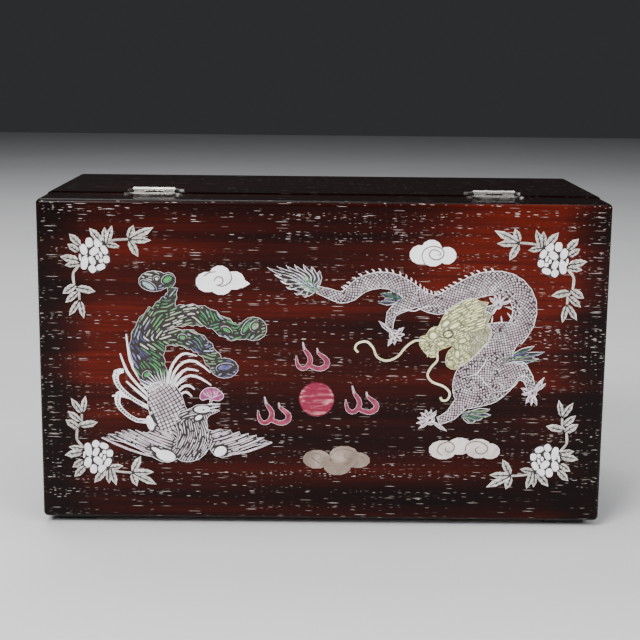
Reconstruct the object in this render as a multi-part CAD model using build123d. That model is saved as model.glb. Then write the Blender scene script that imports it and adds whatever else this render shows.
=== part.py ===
"""Mahjong case: a hardwood chest with four dovetailed drawers under a tray with a hinged lid.

The origin lies on the floor, midway between the back panel and the ends of the drawer pulls. X runs
along the width, the drawers face -Y, the inlaid back panel faces +Y and Z is up. Millimetres.
"""
import math
import os

from build123d import *

os.makedirs("parts", exist_ok=True)

# ------------------------------------------------------------------ case
WIDTH = 340.0
DEPTH = 164.0
CASE_HEIGHT = 195.0          # underside of the case to the top of the fixed rail
EDGE_RADIUS = 3.0            # all outer edges
SIDE_T = 10.0
BACK_T = 10.0                # also the leg of the mitres at the back
BOTTOM_T = 8.0
SHELF_T = 6.0
DIVIDER_T = 8.0
FRONT_RAIL_T = 10.0
SLAT_T = 5.0
SLAT_DROP = 9.0              # slat's upper edge below the tray walls
ROW_HEIGHT = 60.0            # clear height of each drawer row
DADO_DEPTH = 3.0             # shelves into the sides
GROOVE_DEPTH = 2.0           # dividers and slat into their neighbours
TONGUE_T = 4.0               # front rail into the sides
FOOT_HEIGHT = 4.0
FOOT_SIZE = 24.0
FOOT_INSET = 8.0
FOOT_CHAMFER = 1.0

# ------------------------------------------------------------------ lid and hinges
LID_T = 12.5
LID_PROUD = 0.8              # lid above the fixed rail
RAIL_DEPTH = 38.0            # back face to the seam
BATTEN_X = 112.0
BATTEN_WIDTH = 18.0
BATTEN_T = 6.0
BATTEN_MARGIN = 4.0          # batten ends to the tray walls
HINGE_X = 104.0
PIN_RISE = 2.4               # pin axis above the fixed rail
PIN_R = 0.65
PIN_HEAD_R = 1.2
PIN_HEAD_T = 1.0
KNUCKLE_R = 1.3
KNUCKLE_RIM_R = 1.45
KNUCKLE_RIM_T = 0.8
KNUCKLE_OUTER = 7.3          # length of each case knuckle
KNUCKLE_MIDDLE = 9.7         # length of the lid knuckle
KNUCKLE_GAP = 0.15
LEAF_T = 1.0
LEAF_REACH = 16.0            # pin axis to the straight outer edge
LEAF_HALF = 12.3             # half width at the knuckles and at the outer edge
LEAF_TIP = 17.5              # half width at the pointed side tips
LEAF_CLIP = 1.5
SCREW_R = 0.8
SCREW_HEAD_R = 1.6
SCREW_LENGTH = 8.0
SCREW_SLOT = 0.4

# ------------------------------------------------------------------ drawers
DRAWER_FRONT_T = 10.0
DRAWER_SIDE_T = 6.0
DRAWER_BACK_T = 6.0
DRAWER_BOTTOM_T = 3.0
DRAWER_BOTTOM_RISE = 4.0     # underside of the drawer to its bottom board
DRAWER_REAR_GAP = 0.5
DRAWER_SIDE_GAP = 0.4
DRAWER_TOP_GAP = 0.7
LAP_T = 3.0                  # wood left over the ends of the tails
TAILS = 3
TAIL_SLOPE = 0.16
PULL_R = 8.0
PULL_NECK_R = 3.2
PULL_LENGTH = 17.0
PULL_PLATE_R = 10.0
PULL_PLATE_T = 1.2
PULL_SHANK_R = 2.0
NUT_FLAT = 8.0
NUT_T = 3.0

# ------------------------------------------------------------------ latch and handles
LATCH_PLATE_R = 8.0
LATCH_PLATE_T = 1.2
LATCH_REACH = 21.0           # pivot to the middle of the catch
HOOK_T = 2.0
HOOK_WIDTH = 4.5
HOOK_EYE_R = 5.0
CATCH_R = 3.2                # inside of the catch
CATCH_WALL = 2.2
STUD_R = 2.2
STUD_HEAD_R = 3.6
STUD_HEAD_T = 1.5
STUD_FLANGE_R = 4.4
STUD_DEPTH = 7.0
STUD_SHANK_R = 1.5
HANDLE_Z = 118.0             # bail axis above the floor
HANDLE_HALF = 34.0           # middle of the case to each pommel
HANDLE_DROP = 28.0
HANDLE_BEND = 5.0
BAIL_R = 1.7
GRIP_R = 2.8
GRIP_LENGTH = 40.0
POMMEL_R = 3.7
POMMEL_NECK_R = 2.4
POMMEL_RISE = 5.0            # bail axis off the side board
POMMEL_PLATE_R = 8.0
POMMEL_PLATE_T = 1.2
POMMEL_SHANK_R = 2.0

# ------------------------------------------------------------------ fits
GLUE_FIT = 0.05              # glued joints, all round
RUNNING_FIT = 0.05           # pins, bails and pivots, on the radius
MOVING_GAP = 0.3             # lid and drawers off what they rest on

# ------------------------------------------------------------------ inlay
INLAY_T = 1.0
INLAY_PROUD = 0.2            # shell above the wood
PEARL_R = 10.6
PEARL_PROUD = 0.5

# ------------------------------------------------------------------ levels worked out from the above
Y_MIDDLE = PULL_LENGTH / 2
Y_FRONT = Y_MIDDLE - DEPTH / 2
Y_BACK = Y_MIDDLE + DEPTH / 2
Y_INNER = Y_BACK - BACK_T
Y_SEAM = Y_BACK - RAIL_DEPTH
X_INNER = WIDTH / 2 - SIDE_T
Z_CASE = FOOT_HEIGHT
Z_FLOOR = Z_CASE + BOTTOM_T
Z_MID = Z_FLOOR + ROW_HEIGHT
Z_ROW_2 = Z_MID + SHELF_T
Z_UPPER = Z_ROW_2 + ROW_HEIGHT
Z_TRAY = Z_UPPER + SHELF_T
Z_TOP = Z_CASE + CASE_HEIGHT
Z_LID_TOP = Z_TOP + LID_PROUD
Z_LID_BOTTOM = Z_LID_TOP - LID_T
Z_WALL = Z_LID_BOTTOM - MOVING_GAP
Z_PIN = Z_TOP + PIN_RISE
DRAWER_LENGTH = DEPTH - BACK_T - DRAWER_REAR_GAP
DRAWER_BAY = X_INNER - DIVIDER_T / 2
DRAWER_WIDTH = DRAWER_BAY - 2 * DRAWER_SIDE_GAP
DRAWER_HEIGHT = ROW_HEIGHT - MOVING_GAP - DRAWER_TOP_GAP
DRAWER_X = DIVIDER_T / 2 + DRAWER_BAY / 2
LATCH_Z = (Z_LID_BOTTOM + Z_LID_TOP - EDGE_RADIUS) / 2 - LATCH_REACH
HOOK_BASE = LATCH_PLATE_T + MOVING_GAP             # back of the hook, off the front face
HOOK_TOP = HOOK_BASE + HOOK_T + MOVING_GAP         # underside of the stud's and the pivot's head


def block(x0, x1, y0, y1, z0, z1):
    """Box between two corners."""
    centre = Pos((x0 + x1) / 2, (y0 + y1) / 2, (z0 + z1) / 2)
    return centre * Box(x1 - x0, y1 - y0, z1 - z0)


def rod(start, axis, radius, length):
    """Cylinder from a point along an axis."""
    return Plane(origin=start, z_dir=axis) * Cylinder(
        radius, length, align=(Align.CENTER, Align.CENTER, Align.MIN))


def turned(origin, axis, profile):
    """Solid of revolution: (distance along the axis, radius) pairs, closed on the axis."""
    points = [(0, profile[0][0])] + [(r, a) for a, r in profile] + [(0, profile[-1][0])]
    face = make_face(Polyline(*points, close=True))
    solid = revolve(Plane.XZ * face, Axis.Z)
    return Plane(origin=origin, z_dir=axis) * solid


def save(name, *solids):
    """One node: a single solid, or a group of like solids."""
    shapes = []
    for item in solids:
        shapes.extend(item.solids())
    whole = shapes[0] if len(shapes) == 1 else Compound(children=shapes)
    export_step(whole, f"parts/{name}.step")


def rounded_block(x0, x1, y0, y1, z0, z1):
    """Box with every edge rounded, used to trim boards to the outer shape."""
    solid = block(x0, x1, y0, y1, z0, z1)
    return fillet(solid.edges(), EDGE_RADIUS)


# ================================================================== inlay drawing
# The drawing lies on the face of the back panel: u from its left edge, v from its lower edge.
# It is 340 units wide and 195 high, and is stretched to the panel.
PANEL_PLANE = Plane(origin=(WIDTH / 2, Y_BACK, Z_CASE), x_dir=(-1, 0, 0), z_dir=(0, 1, 0))


def art(u, v, drawn_width=340, drawn_height=195):
    """Place on the panel of a point of the drawing."""
    return (u / drawn_width * WIDTH, v / drawn_height * CASE_HEIGHT)


def outline(points):
    """Filled polygon, always drawn anticlockwise so that outlines merge."""
    area = 0
    for (u0, v0), (u1, v1) in zip(points, points[1:] + points[:1]):
        area += u0 * v1 - u1 * v0
    ordered = points if area > 0 else points[::-1]
    return Polygon(*[art(u, v) for u, v in ordered], align=None)


def union(shapes):
    whole = shapes[0]
    for shape in shapes[1:]:
        whole = whole + shape
    return whole


def leaf_points(tip, base, width, stations=2):
    """Pointed leaf between two points, fullest nearer its base."""
    du, dv = base[0] - tip[0], base[1] - tip[1]
    length = math.hypot(du, dv)
    nu, nv = -dv / length, du / length
    left, right = [], []
    for i in range(1, stations + 1):
        t = i / (stations + 1)
        half = width / 2 * math.sin(math.pi * t ** 0.85)
        u, v = tip[0] + du * t, tip[1] + dv * t
        left.append((u + nu * half, v + nv * half))
        right.append((u - nu * half, v - nv * half))
    return [tip] + left + [base] + right[::-1]


def leaf(tip, base, width, stations=2):
    return outline(leaf_points(tip, base, width, stations))


def curve(stations, steps=2):
    """Smooth run through the stations, which may carry a half width as well."""
    run = []
    last = len(stations) - 1
    for i in range(last):
        corners = (stations[max(i - 1, 0)], stations[i], stations[i + 1], stations[min(i + 2, last)])
        for k in range(steps):
            t = k / steps
            weights = (-t + 2 * t ** 2 - t ** 3, 2 - 5 * t ** 2 + 3 * t ** 3, t + 4 * t ** 2 - 3 * t ** 3, t ** 3 - t ** 2)
            run.append(tuple(sum(w * value for w, value in zip(weights, values)) / 2 for values in zip(*corners)))
    return run + [tuple(stations[-1])]


def smooth(points, steps=2):
    """Closed outline with its corners rounded by a curve through them."""
    return outline(curve(points[-1:] + points + points[:2], steps)[steps:-steps - 1])


def frill(stations, pitch, depth):
    """Stations along a curve, with a half width that swells and drops like overlapping leaves."""
    run = []
    travelled = 0.0
    path = curve(stations, 3)
    for before, here in zip(path[:1] + path, path):
        travelled += math.hypot(here[0] - before[0], here[1] - before[1])
        run.append((here[0], here[1], here[2] + depth * (travelled % pitch / pitch - 0.5)))
    return run


def ribbon_points(spine, half_width=None):
    """Band along (u, v) points of one half width, or along (u, v, half width) stations."""
    left, right = [], []
    last = len(spine) - 1
    for i, station in enumerate(spine):
        before, after = spine[max(i - 1, 0)], spine[min(i + 1, last)]
        du, dv = after[0] - before[0], after[1] - before[1]
        length = math.hypot(du, dv)
        half = station[2] if half_width is None else half_width
        left.append((station[0] - dv / length * half, station[1] + du / length * half))
        right.append((station[0] + dv / length * half, station[1] - du / length * half))
    return left + right[::-1]


def ribbon(spine, half_width=None):
    return outline(ribbon_points(spine, half_width))


def oval(u, v, ru, rv, corners=12):
    points = []
    for i in range(corners):
        turn = 2 * math.pi * (i + 0.5) / corners
        points.append((u + ru * math.cos(turn), v + rv * math.sin(turn)))
    return outline(points)


def claw(palm, radius, toes, toe_width):
    """Foot: a palm with pointed toes."""
    shapes = [oval(palm[0], palm[1], radius, radius, 8)]
    for toe in toes:
        shapes.append(leaf(toe, palm, toe_width, 2))
    return union(shapes)


def dragon_body():
    spine = [
        (166, 142.5, 2.3), (173, 140.3, 3.2), (180, 138, 3.7), (186, 140, 4.6), (192.5, 145.5, 5),
        (203, 148.5, 5.2), (213, 147, 5.2), (221, 142, 5.5), (229, 136.5, 5.5), (238, 134, 6.2),
        (247, 137.5, 6.8), (256, 143, 7), (265, 146.6, 7.4), (275, 147.4, 7.4), (284, 143.8, 7.5),
        (289.6, 135, 7.6), (289, 124, 7.4), (283, 114.5, 7.3),
    ]
    chest = [
        (249, 91), (248, 84), (249, 78), (252, 73), (256, 70), (264, 71.5), (272, 73.5), (278, 77), (284, 83),
        (288, 88), (287, 97), (283.6, 102), (285.4, 108), (289, 115), (284, 122), (279, 124), (271, 123.4),
        (265, 121), (264.6, 108), (257, 100), (252, 97),
    ]
    hind = [ribbon(curve([(226, 137, 4.4), (217, 133, 4), (210.5, 128, 3.1), (209.6, 119, 2.2)])),
            claw((212.4, 115.6), 3.2, [(203, 123.8), (208.8, 108.6), (212.8, 109.2), (217, 111.6), (218.8, 115.6),
                                       (218.4, 120)], 2.9)]
    raised = [ribbon(curve([(258, 128.4, 3), (265, 130, 2.6), (272, 132.6, 2.2)])),
              claw((274, 134), 2.6, [(268.5, 138.5), (271.5, 140.4), (275, 141), (278.6, 139.8), (282.4, 137),
                                     (269, 127)], 2.4)]
    right = [ribbon(curve([(272, 94, 8), (281, 92.6, 7), (289, 93, 5.2), (293.6, 89, 3.4), (296, 82, 2.6)])),
             claw((296.4, 80.6), 3, [(303.4, 90.3), (304.4, 86.4), (289.3, 83.4), (290, 79.6), (292.6, 73.8),
                                     (296, 72.6), (299.4, 73)], 2.7)]
    left = [ribbon(curve([(262, 80, 6), (254, 74, 4.8), (247.6, 66.4, 3.6), (240, 62.6, 2.6)])),
            claw((235.4, 62.8), 3, [(229.2, 67.7), (232, 69.6), (235.6, 69.8), (239, 69.2), (227.4, 64.4),
                                    (226.8, 61), (228.4, 57.8), (245.4, 56.3)], 2.5)]
    return union([ribbon(curve(spine)), smooth(chest)] + hind + raised + right + left)


def dragon_head():
    face = [
        (233.4, 119), (231.4, 115.6), (228, 114.4), (227.6, 109.6), (230.6, 105), (234.6, 101.8), (238.6, 102.6),
        (239.4, 106), (243.4, 107.6), (248.6, 109.6), (245, 105.8), (243.4, 101), (244.4, 96.4), (249.4, 94.4),
        (253, 97.6), (258, 100.4), (264.4, 106.8), (269, 112), (270.6, 118), (268, 122.6), (270.4, 128.6),
        (266, 130.6), (268.4, 135.6), (264, 136.2), (259.6, 138), (254, 136.6), (247.6, 133.2), (242.4, 128.8),
        (240, 124), (238.4, 120.8), (236, 120.6),
    ]
    upper_whisker = [
        (231, 112), (225, 112), (219.5, 108), (214.5, 102), (208, 99.6), (202.5, 102), (200, 107.5),
        (196, 111.2), (191, 110.2), (189.2, 107), (191.2, 104.6),
    ]
    lower_whisker = [
        (238.4, 104), (238.6, 100), (235.2, 96), (233, 91), (236, 86.8), (243, 84), (246.6, 80), (245.4, 76),
        (242.4, 75.4), (241, 77.4),
    ]
    whiskers = [ribbon(curve(whisker, 3), 0.7) for whisker in (upper_whisker, lower_whisker)]
    return union([smooth(face)] + whiskers)


def dragon_tufts():
    tail_tips = [(137, 155.2), (142.6, 156), (148, 156.6), (153, 157), (158.4, 157.2), (163.4, 156), (168, 153.4),
                 (141, 151), (144.6, 147.2), (148, 143.4), (153, 139.8), (158, 138.2)]
    shapes = []
    for u, v in tail_tips:
        shapes.append(leaf((u, v), (166.6, 143), 3.4))
    for root, tips in (((218, 137), [(202.6, 134.6), (203.6, 140.4), (209, 143.6)]),
                       ((277, 99), [(296.6, 109.6), (293.4, 104.6), (303, 106), (299.6, 101.4)]),
                       ((254, 66), [(271.4, 70.4), (266.6, 64), (272, 66.6), (262, 61.8)])):
        for tip in tips:
            shapes.append(leaf(tip, root, 4.6))
    return union(shapes)


def phoenix_body():
    trunk = [(66, 84), (64.5, 74), (66, 64), (70, 58), (76, 55), (82, 52), (82, 44.5), (80.4, 40), (84, 36.4),
             (90, 35.6), (96.5, 38), (101.6, 44), (99.6, 49), (101, 57), (100.4, 62), (102.6, 65), (108.6, 68),
             (103, 69), (108.4, 71.6), (101, 71.6), (94, 71.4), (88.6, 68.4), (86.6, 74), (84, 80), (79, 84.6)]
    left_wing = [(82, 37), (77, 35), (72, 35.8), (66, 39), (59, 43.4), (50, 47.4), (36.6, 50.2), (41.4, 51.4),
                 (40.6, 52.8), (45.4, 52.6), (44.8, 54.2), (49, 53.4), (48.6, 55.2), (52.6, 53.8), (52.6, 55.8),
                 (56.6, 54), (57.2, 55.6), (61, 53.6), (65, 54), (69, 58.6), (76, 57), (82, 50)]
    right_wing = [(101, 45), (104.6, 40), (109, 38.4), (115, 39.8), (121, 43), (129, 46), (140, 48.2), (134.6, 50),
                  (135.2, 51.6), (130.6, 51), (130.2, 53), (125.8, 52), (125.4, 54), (121, 52.8), (120, 55),
                  (116, 53.6), (114.6, 56), (111, 54.4), (109, 56.4), (105.6, 55), (100, 56.4)]
    return union([smooth(trunk), outline(left_wing), outline(right_wing)])


def phoenix_plumes():
    curls = [
        [(66, 61, 1.5), (58, 61.4, 1.3), (51, 66, 1.2), (46.8, 71.6, 1.5), (47.4, 77.4, 2), (51, 79, 1.2)],
        [(66, 69, 1.3), (57.6, 73.6, 1.2), (50, 79.6, 1.3), (46, 85.6, 1.6), (46.4, 91, 2), (50.6, 92, 1.2)],
        [(56, 74.6, 0.8), (49.4, 76.6, 0.8), (43.4, 76.4, 0.5)],
        [(65, 74, 0.8), (58, 80, 0.8), (52, 85.6, 0.5)],
        [(65, 77, 0.8), (58, 84.4, 0.8), (52.4, 92, 0.8), (48.6, 102.6, 0.4)],
        [(65.6, 80, 0.8), (59, 89, 0.8), (54.4, 99, 0.8), (52.4, 114.4, 0.4)],
        [(77, 84, 0.8), (78.6, 93, 0.8), (83, 100.4, 0.8), (88, 103, 0.7), (94.6, 101.4, 0.4)],
        [(78.6, 83.6, 0.8), (81, 91.6, 0.8), (86.6, 97.6, 0.8), (94, 98, 0.8), (102.6, 91.4, 0.4)],
        [(80, 82.6, 0.8), (83.4, 89.4, 0.8), (88.6, 93.4, 0.8), (95.4, 92.2, 0.4)],
        [(81.4, 81.4, 0.8), (85, 86.6, 0.8), (90.6, 89.4, 0.8), (97, 87.6, 0.7), (103, 83.6, 0.4)],
        [(83, 79.4, 0.8), (86.4, 82.6, 0.8), (90, 83.2, 0.7), (93, 80.8, 0.4)],
        [(84, 77, 0.8), (86.6, 79, 0.7), (89, 78.8, 0.7), (91.4, 76.4, 0.4)],
        [(100, 70.6, 0.8), (104, 71.6, 0.7), (108.4, 71.8, 0.4)],
    ]
    return union([ribbon(curve(curl)) for curl in curls])


def phoenix_tail():
    trunk = [(71, 84.6, 7.4), (67, 93, 9.4), (65, 103, 10.4), (66, 113, 10.6), (69, 121, 9), (72.6, 128, 7)]
    up = [(72.6, 127, 6.4), (76.6, 132.6, 5), (79.6, 138, 3.6), (80.4, 143, 3.2)]
    across = [(72, 123, 5.6), (82, 125.4, 6), (92, 126.4, 6.2), (101, 125, 6), (108.6, 120.8, 5.6),
              (116.4, 116.4, 5.4), (123, 117, 5)]
    down = [(72, 112, 5.6), (82, 112.8, 5.6), (90.6, 111.4, 5.6), (98, 107.4, 5.4), (102.8, 101.4, 5),
            (106.6, 96, 5)]
    return union([
        ribbon(frill(trunk, 8, 1.6)), ribbon(frill(up, 5, 1.4)), ribbon(frill(across, 7, 2)),
        ribbon(frill(down, 6.4, 1.8)), oval(69.4, 146.6, 9.4, 6.4, 14), oval(78, 147.4, 4.4, 4.8, 10),
        oval(128.4, 118.4, 8.2, 7.4, 14), oval(111, 94.2, 8.6, 6.4, 14),
    ])


def fungus():
    cap = [(96, 75.6), (98, 74), (101, 75), (104, 74.2), (108, 73.8), (110.8, 76.4), (109.4, 79.4), (105.4, 82.2),
           (100.4, 82), (97, 79.4)]
    return union([smooth(cap), ribbon([(104, 75.4), (102.6, 73.4), (103, 71.9)], 0.8)])


def cloud(lobes, tips):
    """Scroll cloud: round lobes drawn out into tips."""
    shapes = [oval(*lobe) for lobe in lobes]
    for tip, base, width in tips:
        shapes.append(leaf(tip, base, width, 1))
    return union(shapes)


def clouds():
    return union([
        cloud([(101, 146.4, 7, 6.2), (108.4, 150.4, 6.4, 6), (117, 147.4, 6.2, 5.6), (109, 144, 6.6, 5.4)],
              [((126.4, 145.6), (117, 146), 6)]),
        cloud([(227, 164, 6.4, 5.8), (233.6, 167, 6.2, 6), (242.8, 163.6, 5.6, 5.2), (234.6, 162.2, 6.4, 5.2)], []),
        cloud([(167, 38, 8.6, 6), (183.5, 40.6, 9, 6), (192, 37.6, 7.4, 5), (179.5, 33, 8.2, 5)], []),
        cloud([(243.4, 44.6, 8.6, 6), (253.6, 47, 7.4, 5.4), (265, 45.6, 8.4, 6.2), (272, 44, 6.2, 5)], []),
    ])


def flames():
    """Three equal flames: two hooked licks each, placed by the lower left corner of their box."""
    licks = [
        [(0.6, 9.6, 0.4), (0.9, 6, 1), (2, 3, 1.3), (4.6, 1.7, 1.4), (7.4, 3.2, 1.5), (9, 6.6, 1.6), (8, 10.2, 1.4),
         (5.6, 13.4, 1), (4.4, 18, 0.4)],
        [(8, 4, 1.4), (11.4, 2.4, 1.4), (15, 1.7, 1.6), (18.6, 3.6, 1.8), (18.8, 7, 1.7), (16, 9.6, 1.3),
         (13.6, 11.6, 0.9), (13, 14.4, 0.4)],
    ]
    shapes = []
    for u, v in ((153.5, 92.6), (130.7, 58.8), (183.5, 66)):
        for lick in licks:
            shapes.append(ribbon(curve([(u + du, v + dv, half) for du, dv, half in lick])))
    return union(shapes)


def sprig_leaves():
    """Leaves and stems of the upper left corner sprig."""
    leaves = [
        ((19.6, 174.4), (26.6, 167.4), 4.4), ((18.6, 168.4), (25.6, 163.6), 4), ((14, 160.8), (25.4, 158.8), 4.6),
        ((16.6, 155.6), (26, 157), 3.6), ((15, 138.6), (23, 144), 4.6), ((16.6, 133.2), (24.4, 140), 4),
        ((34.6, 140), (23, 142.4), 4.6), ((18.6, 125.2), (25, 135), 3.8), ((27.4, 123.6), (25, 135), 3.6),
        ((31.6, 178), (39, 169.4), 4.6), ((40.6, 178.6), (40.6, 169), 3.8), ((45, 179.6), (42, 169), 3.6),
        ((49.4, 167.2), (40.4, 168.4), 3.4), ((57.6, 180), (54.6, 171.4), 4.4), ((69.6, 178.8), (55, 171.6), 4.6),
        ((68, 171), (55, 171), 4), ((60.2, 161), (54.6, 171.4), 4.6),
    ]
    stems = [[(25.6, 156), (21.6, 151), (22, 144), (24.6, 140), (25, 134)],
             [(41, 169.6), (47, 171), (55.4, 171.6)]]
    return [leaf_points(*item) for item in leaves] + [ribbon_points(stem, 0.6) for stem in stems]


def in_four_corners(point_lists, mirror_u=170, mirror_v=100):
    """The upper left figure and its mirror images about the middle of the drawing."""
    shapes = []
    for points in point_lists:
        for flip_u in (False, True):
            for flip_v in (False, True):
                moved = []
                for u, v in points:
                    moved.append((2 * mirror_u - u if flip_u else u, 2 * mirror_v - v if flip_v else v))
                shapes.append(outline(moved))
    return union(shapes)


def flowers():
    """An open peony in each corner, drawn for the upper left one."""
    turns = [2 * math.pi * i / 64 for i in range(64)]
    edge = []
    for turn in turns:
        reach = 9.2 * (1 + 0.06 * abs(math.cos(4.5 * turn)) ** 0.6)
        edge.append((34.4 + 0.94 * reach * math.cos(turn), 161.6 + 1.06 * reach * math.sin(turn)))
    return in_four_corners([edge])


def inlay_plates():
    """Plates by node, front ones first: where two overlap, the later one is cut round the earlier."""
    drawing = [
        ("inlay_dragon_head", dragon_head()), ("inlay_dragon_body", dragon_body()),
        ("inlay_dragon_tufts", dragon_tufts()), ("inlay_phoenix_body", phoenix_body()),
        ("inlay_phoenix_tail", phoenix_tail()), ("inlay_phoenix_plumes", phoenix_plumes()),
        ("inlay_fungus", fungus()), ("inlay_clouds", clouds()),
        ("inlay_pearl", Pos(*art(166.5, 75.5)) * Circle(PEARL_R)), ("inlay_flames", flames()),
        ("inlay_peony_flowers", flowers()), ("inlay_peony_leaves", in_four_corners(sprig_leaves())),
    ]
    plates = {}
    taken = None
    for name, sketch in drawing:
        clear = sketch if taken is None else sketch - taken
        taken = sketch if taken is None else taken + sketch
        proud = PEARL_PROUD if name == "inlay_pearl" else INLAY_PROUD
        seat = Pos(0, proud, 0) * (PANEL_PLANE * clear)
        plates[name] = extrude(seat, INLAY_T + proud, dir=(0, -1, 0))
    return plates


# ================================================================== case
def panel_blank():
    """Back panel before trimming: mitred to both sides and to the fixed rail."""
    half = WIDTH / 2
    plan = Polygon((-half, Y_BACK), (half, Y_BACK), (X_INNER, Y_INNER), (-X_INNER, Y_INNER), align=None)
    solid = Pos(0, 0, Z_CASE) * extrude(plan, CASE_HEIGHT, dir=(0, 0, 1))
    wedge = Polygon((Y_INNER, Z_TOP - BACK_T), (Y_BACK, Z_TOP), (Y_INNER, Z_TOP), align=None)
    return solid - Pos(-half, 0, 0) * extrude(Plane.YZ * wedge, WIDTH, dir=(1, 0, 0))


def make_case(plates):
    envelope = rounded_block(-WIDTH / 2, WIDTH / 2, Y_FRONT, Y_BACK, Z_CASE, Z_TOP)
    blank = panel_blank()
    reach = X_INNER + DADO_DEPTH
    bottom = block(-reach, reach, Y_FRONT, Y_INNER, Z_CASE, Z_FLOOR)
    shelf = block(-reach, reach, Y_FRONT, Y_INNER, Z_MID, Z_ROW_2)
    tray_floor = block(-reach, reach, Y_FRONT, Y_INNER, Z_UPPER, Z_TRAY)
    half = DIVIDER_T / 2
    divider_low = block(-half, half, Y_FRONT, Y_INNER, Z_FLOOR - GROOVE_DEPTH, Z_MID + GROOVE_DEPTH)
    divider_high = block(-half, half, Y_FRONT, Y_INNER, Z_ROW_2 - GROOVE_DEPTH, Z_UPPER + GROOVE_DEPTH)
    tongue_y = Y_FRONT + FRONT_RAIL_T / 2
    tongue = block(-reach, reach, tongue_y - TONGUE_T / 2, tongue_y + TONGUE_T / 2, Z_TRAY, Z_WALL - SIDE_T)
    front_rail = block(-X_INNER, X_INNER, Y_FRONT, Y_FRONT + FRONT_RAIL_T, Z_TRAY, Z_WALL) + tongue
    slat = block(-SLAT_T / 2, SLAT_T / 2, Y_FRONT + FRONT_RAIL_T - GROOVE_DEPTH, Y_INNER + GROOVE_DEPTH,
                 Z_TRAY, Z_WALL - SLAT_DROP)

    def groove(board, gap=GLUE_FIT):
        """The board grown by the glue fit, to cut its seat with."""
        box = board.bounding_box()
        return block(box.min.X - gap, box.max.X + gap, box.min.Y - gap, box.max.Y + gap,
                     box.min.Z - gap, box.max.Z + gap)

    side = block(X_INNER, WIDTH / 2, Y_FRONT, Y_BACK, Z_CASE, Z_WALL) - blank
    side = side - groove(bottom) - groove(shelf) - groove(tray_floor) - groove(tongue)
    side = side & envelope
    for sign, name in ((1, "right"), (-1, "left")):
        board = side if sign > 0 else mirror(side, Plane.YZ)
        for pommel_y in (Y_MIDDLE - HANDLE_HALF, Y_MIDDLE + HANDLE_HALF):
            board = board - rod((sign * (WIDTH / 2 + 1), pommel_y, HANDLE_Z), (-sign, 0, 0),
                                POMMEL_SHANK_R + GLUE_FIT, SIDE_T)
        save(f"side_{name}", board)

    panel = (blank & envelope) - groove(slat)
    panel = panel.cut(*[solid for plate in plates.values() for solid in plate.solids()])
    save("back_panel", panel)

    rail = block(-WIDTH / 2, WIDTH / 2, Y_SEAM, Y_BACK, Z_WALL, Z_TOP) - blank
    rail = rail & envelope
    for hinge_x in (-HINGE_X, HINGE_X):
        rail = rail - hinge_screws(hinge_x, 1, GLUE_FIT)
    save("rear_rail", rail)

    save("bottom_board", (bottom - groove(divider_low)) & envelope)
    save("drawer_shelf", shelf - groove(divider_low) - groove(divider_high))
    save("tray_floor", tray_floor - groove(divider_high))
    save("divider_lower", divider_low)
    save("divider_upper", divider_high)
    pivot_hole = rod((0, Y_FRONT, LATCH_Z), (0, 1, 0), STUD_SHANK_R + GLUE_FIT, STUD_DEPTH + GLUE_FIT)
    save("front_rail", front_rail - groove(slat) - pivot_hole)
    save("tray_slat", slat)

    foot_x = WIDTH / 2 - FOOT_INSET - FOOT_SIZE / 2
    foot_y = DEPTH / 2 - FOOT_INSET - FOOT_SIZE / 2
    foot = Box(FOOT_SIZE, FOOT_SIZE, FOOT_HEIGHT, align=(Align.CENTER, Align.CENTER, Align.MIN))
    foot = chamfer(foot.faces().sort_by(Axis.Z)[0].edges(), FOOT_CHAMFER)
    spots = [(x, Y_MIDDLE + y) for x in (-foot_x, foot_x) for y in (-foot_y, foot_y)]
    save("feet", *[Pos(x, y, 0) * foot for x, y in spots])


# ================================================================== hinges and lid
def leaf_plate(sign, z):
    """Ornamental leaf, from just outside the knuckles to its straight outer edge."""
    start = KNUCKLE_RIM_R + KNUCKLE_GAP
    tip_y = (start + LEAF_REACH) / 2
    outer = LEAF_REACH - LEAF_CLIP
    dip = (LEAF_TIP - LEAF_HALF) * 0.3
    half = [
        Line((0, start), (LEAF_HALF, start)),
        ThreePointArc((LEAF_HALF, start), (LEAF_HALF + dip, (start + tip_y) / 2 + dip), (LEAF_TIP, tip_y)),
        ThreePointArc((LEAF_TIP, tip_y), (LEAF_HALF + dip, (outer + tip_y) / 2 - dip), (LEAF_HALF, outer)),
        Polyline((LEAF_HALF, outer), (LEAF_HALF - LEAF_CLIP, LEAF_REACH), (0, LEAF_REACH)),
        Line((0, LEAF_REACH), (0, start)),
    ]
    face = make_face(half)
    face = face + mirror(face, Plane.YZ)
    plate = extrude(face, LEAF_T, dir=(0, 0, 1))
    if sign < 0:
        plate = mirror(plate, Plane.XZ)
    return Pos(0, Y_SEAM, z) * plate


def knuckle(x0, x1):
    """Turned knuckle with a raised rim at both ends."""
    rim = KNUCKLE_RIM_T
    length = x1 - x0
    profile = [(0, KNUCKLE_RIM_R), (rim, KNUCKLE_RIM_R), (rim, KNUCKLE_R), (length - rim, KNUCKLE_R),
               (length - rim, KNUCKLE_RIM_R), (length, KNUCKLE_RIM_R)]
    return turned((x0, Y_SEAM, Z_PIN), (1, 0, 0), profile)


def screw_spots():
    return ((-LEAF_HALF + 2.2, LEAF_REACH * 0.5), (LEAF_HALF - 2.2, LEAF_REACH * 0.5), (0, LEAF_REACH * 0.76))


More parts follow.
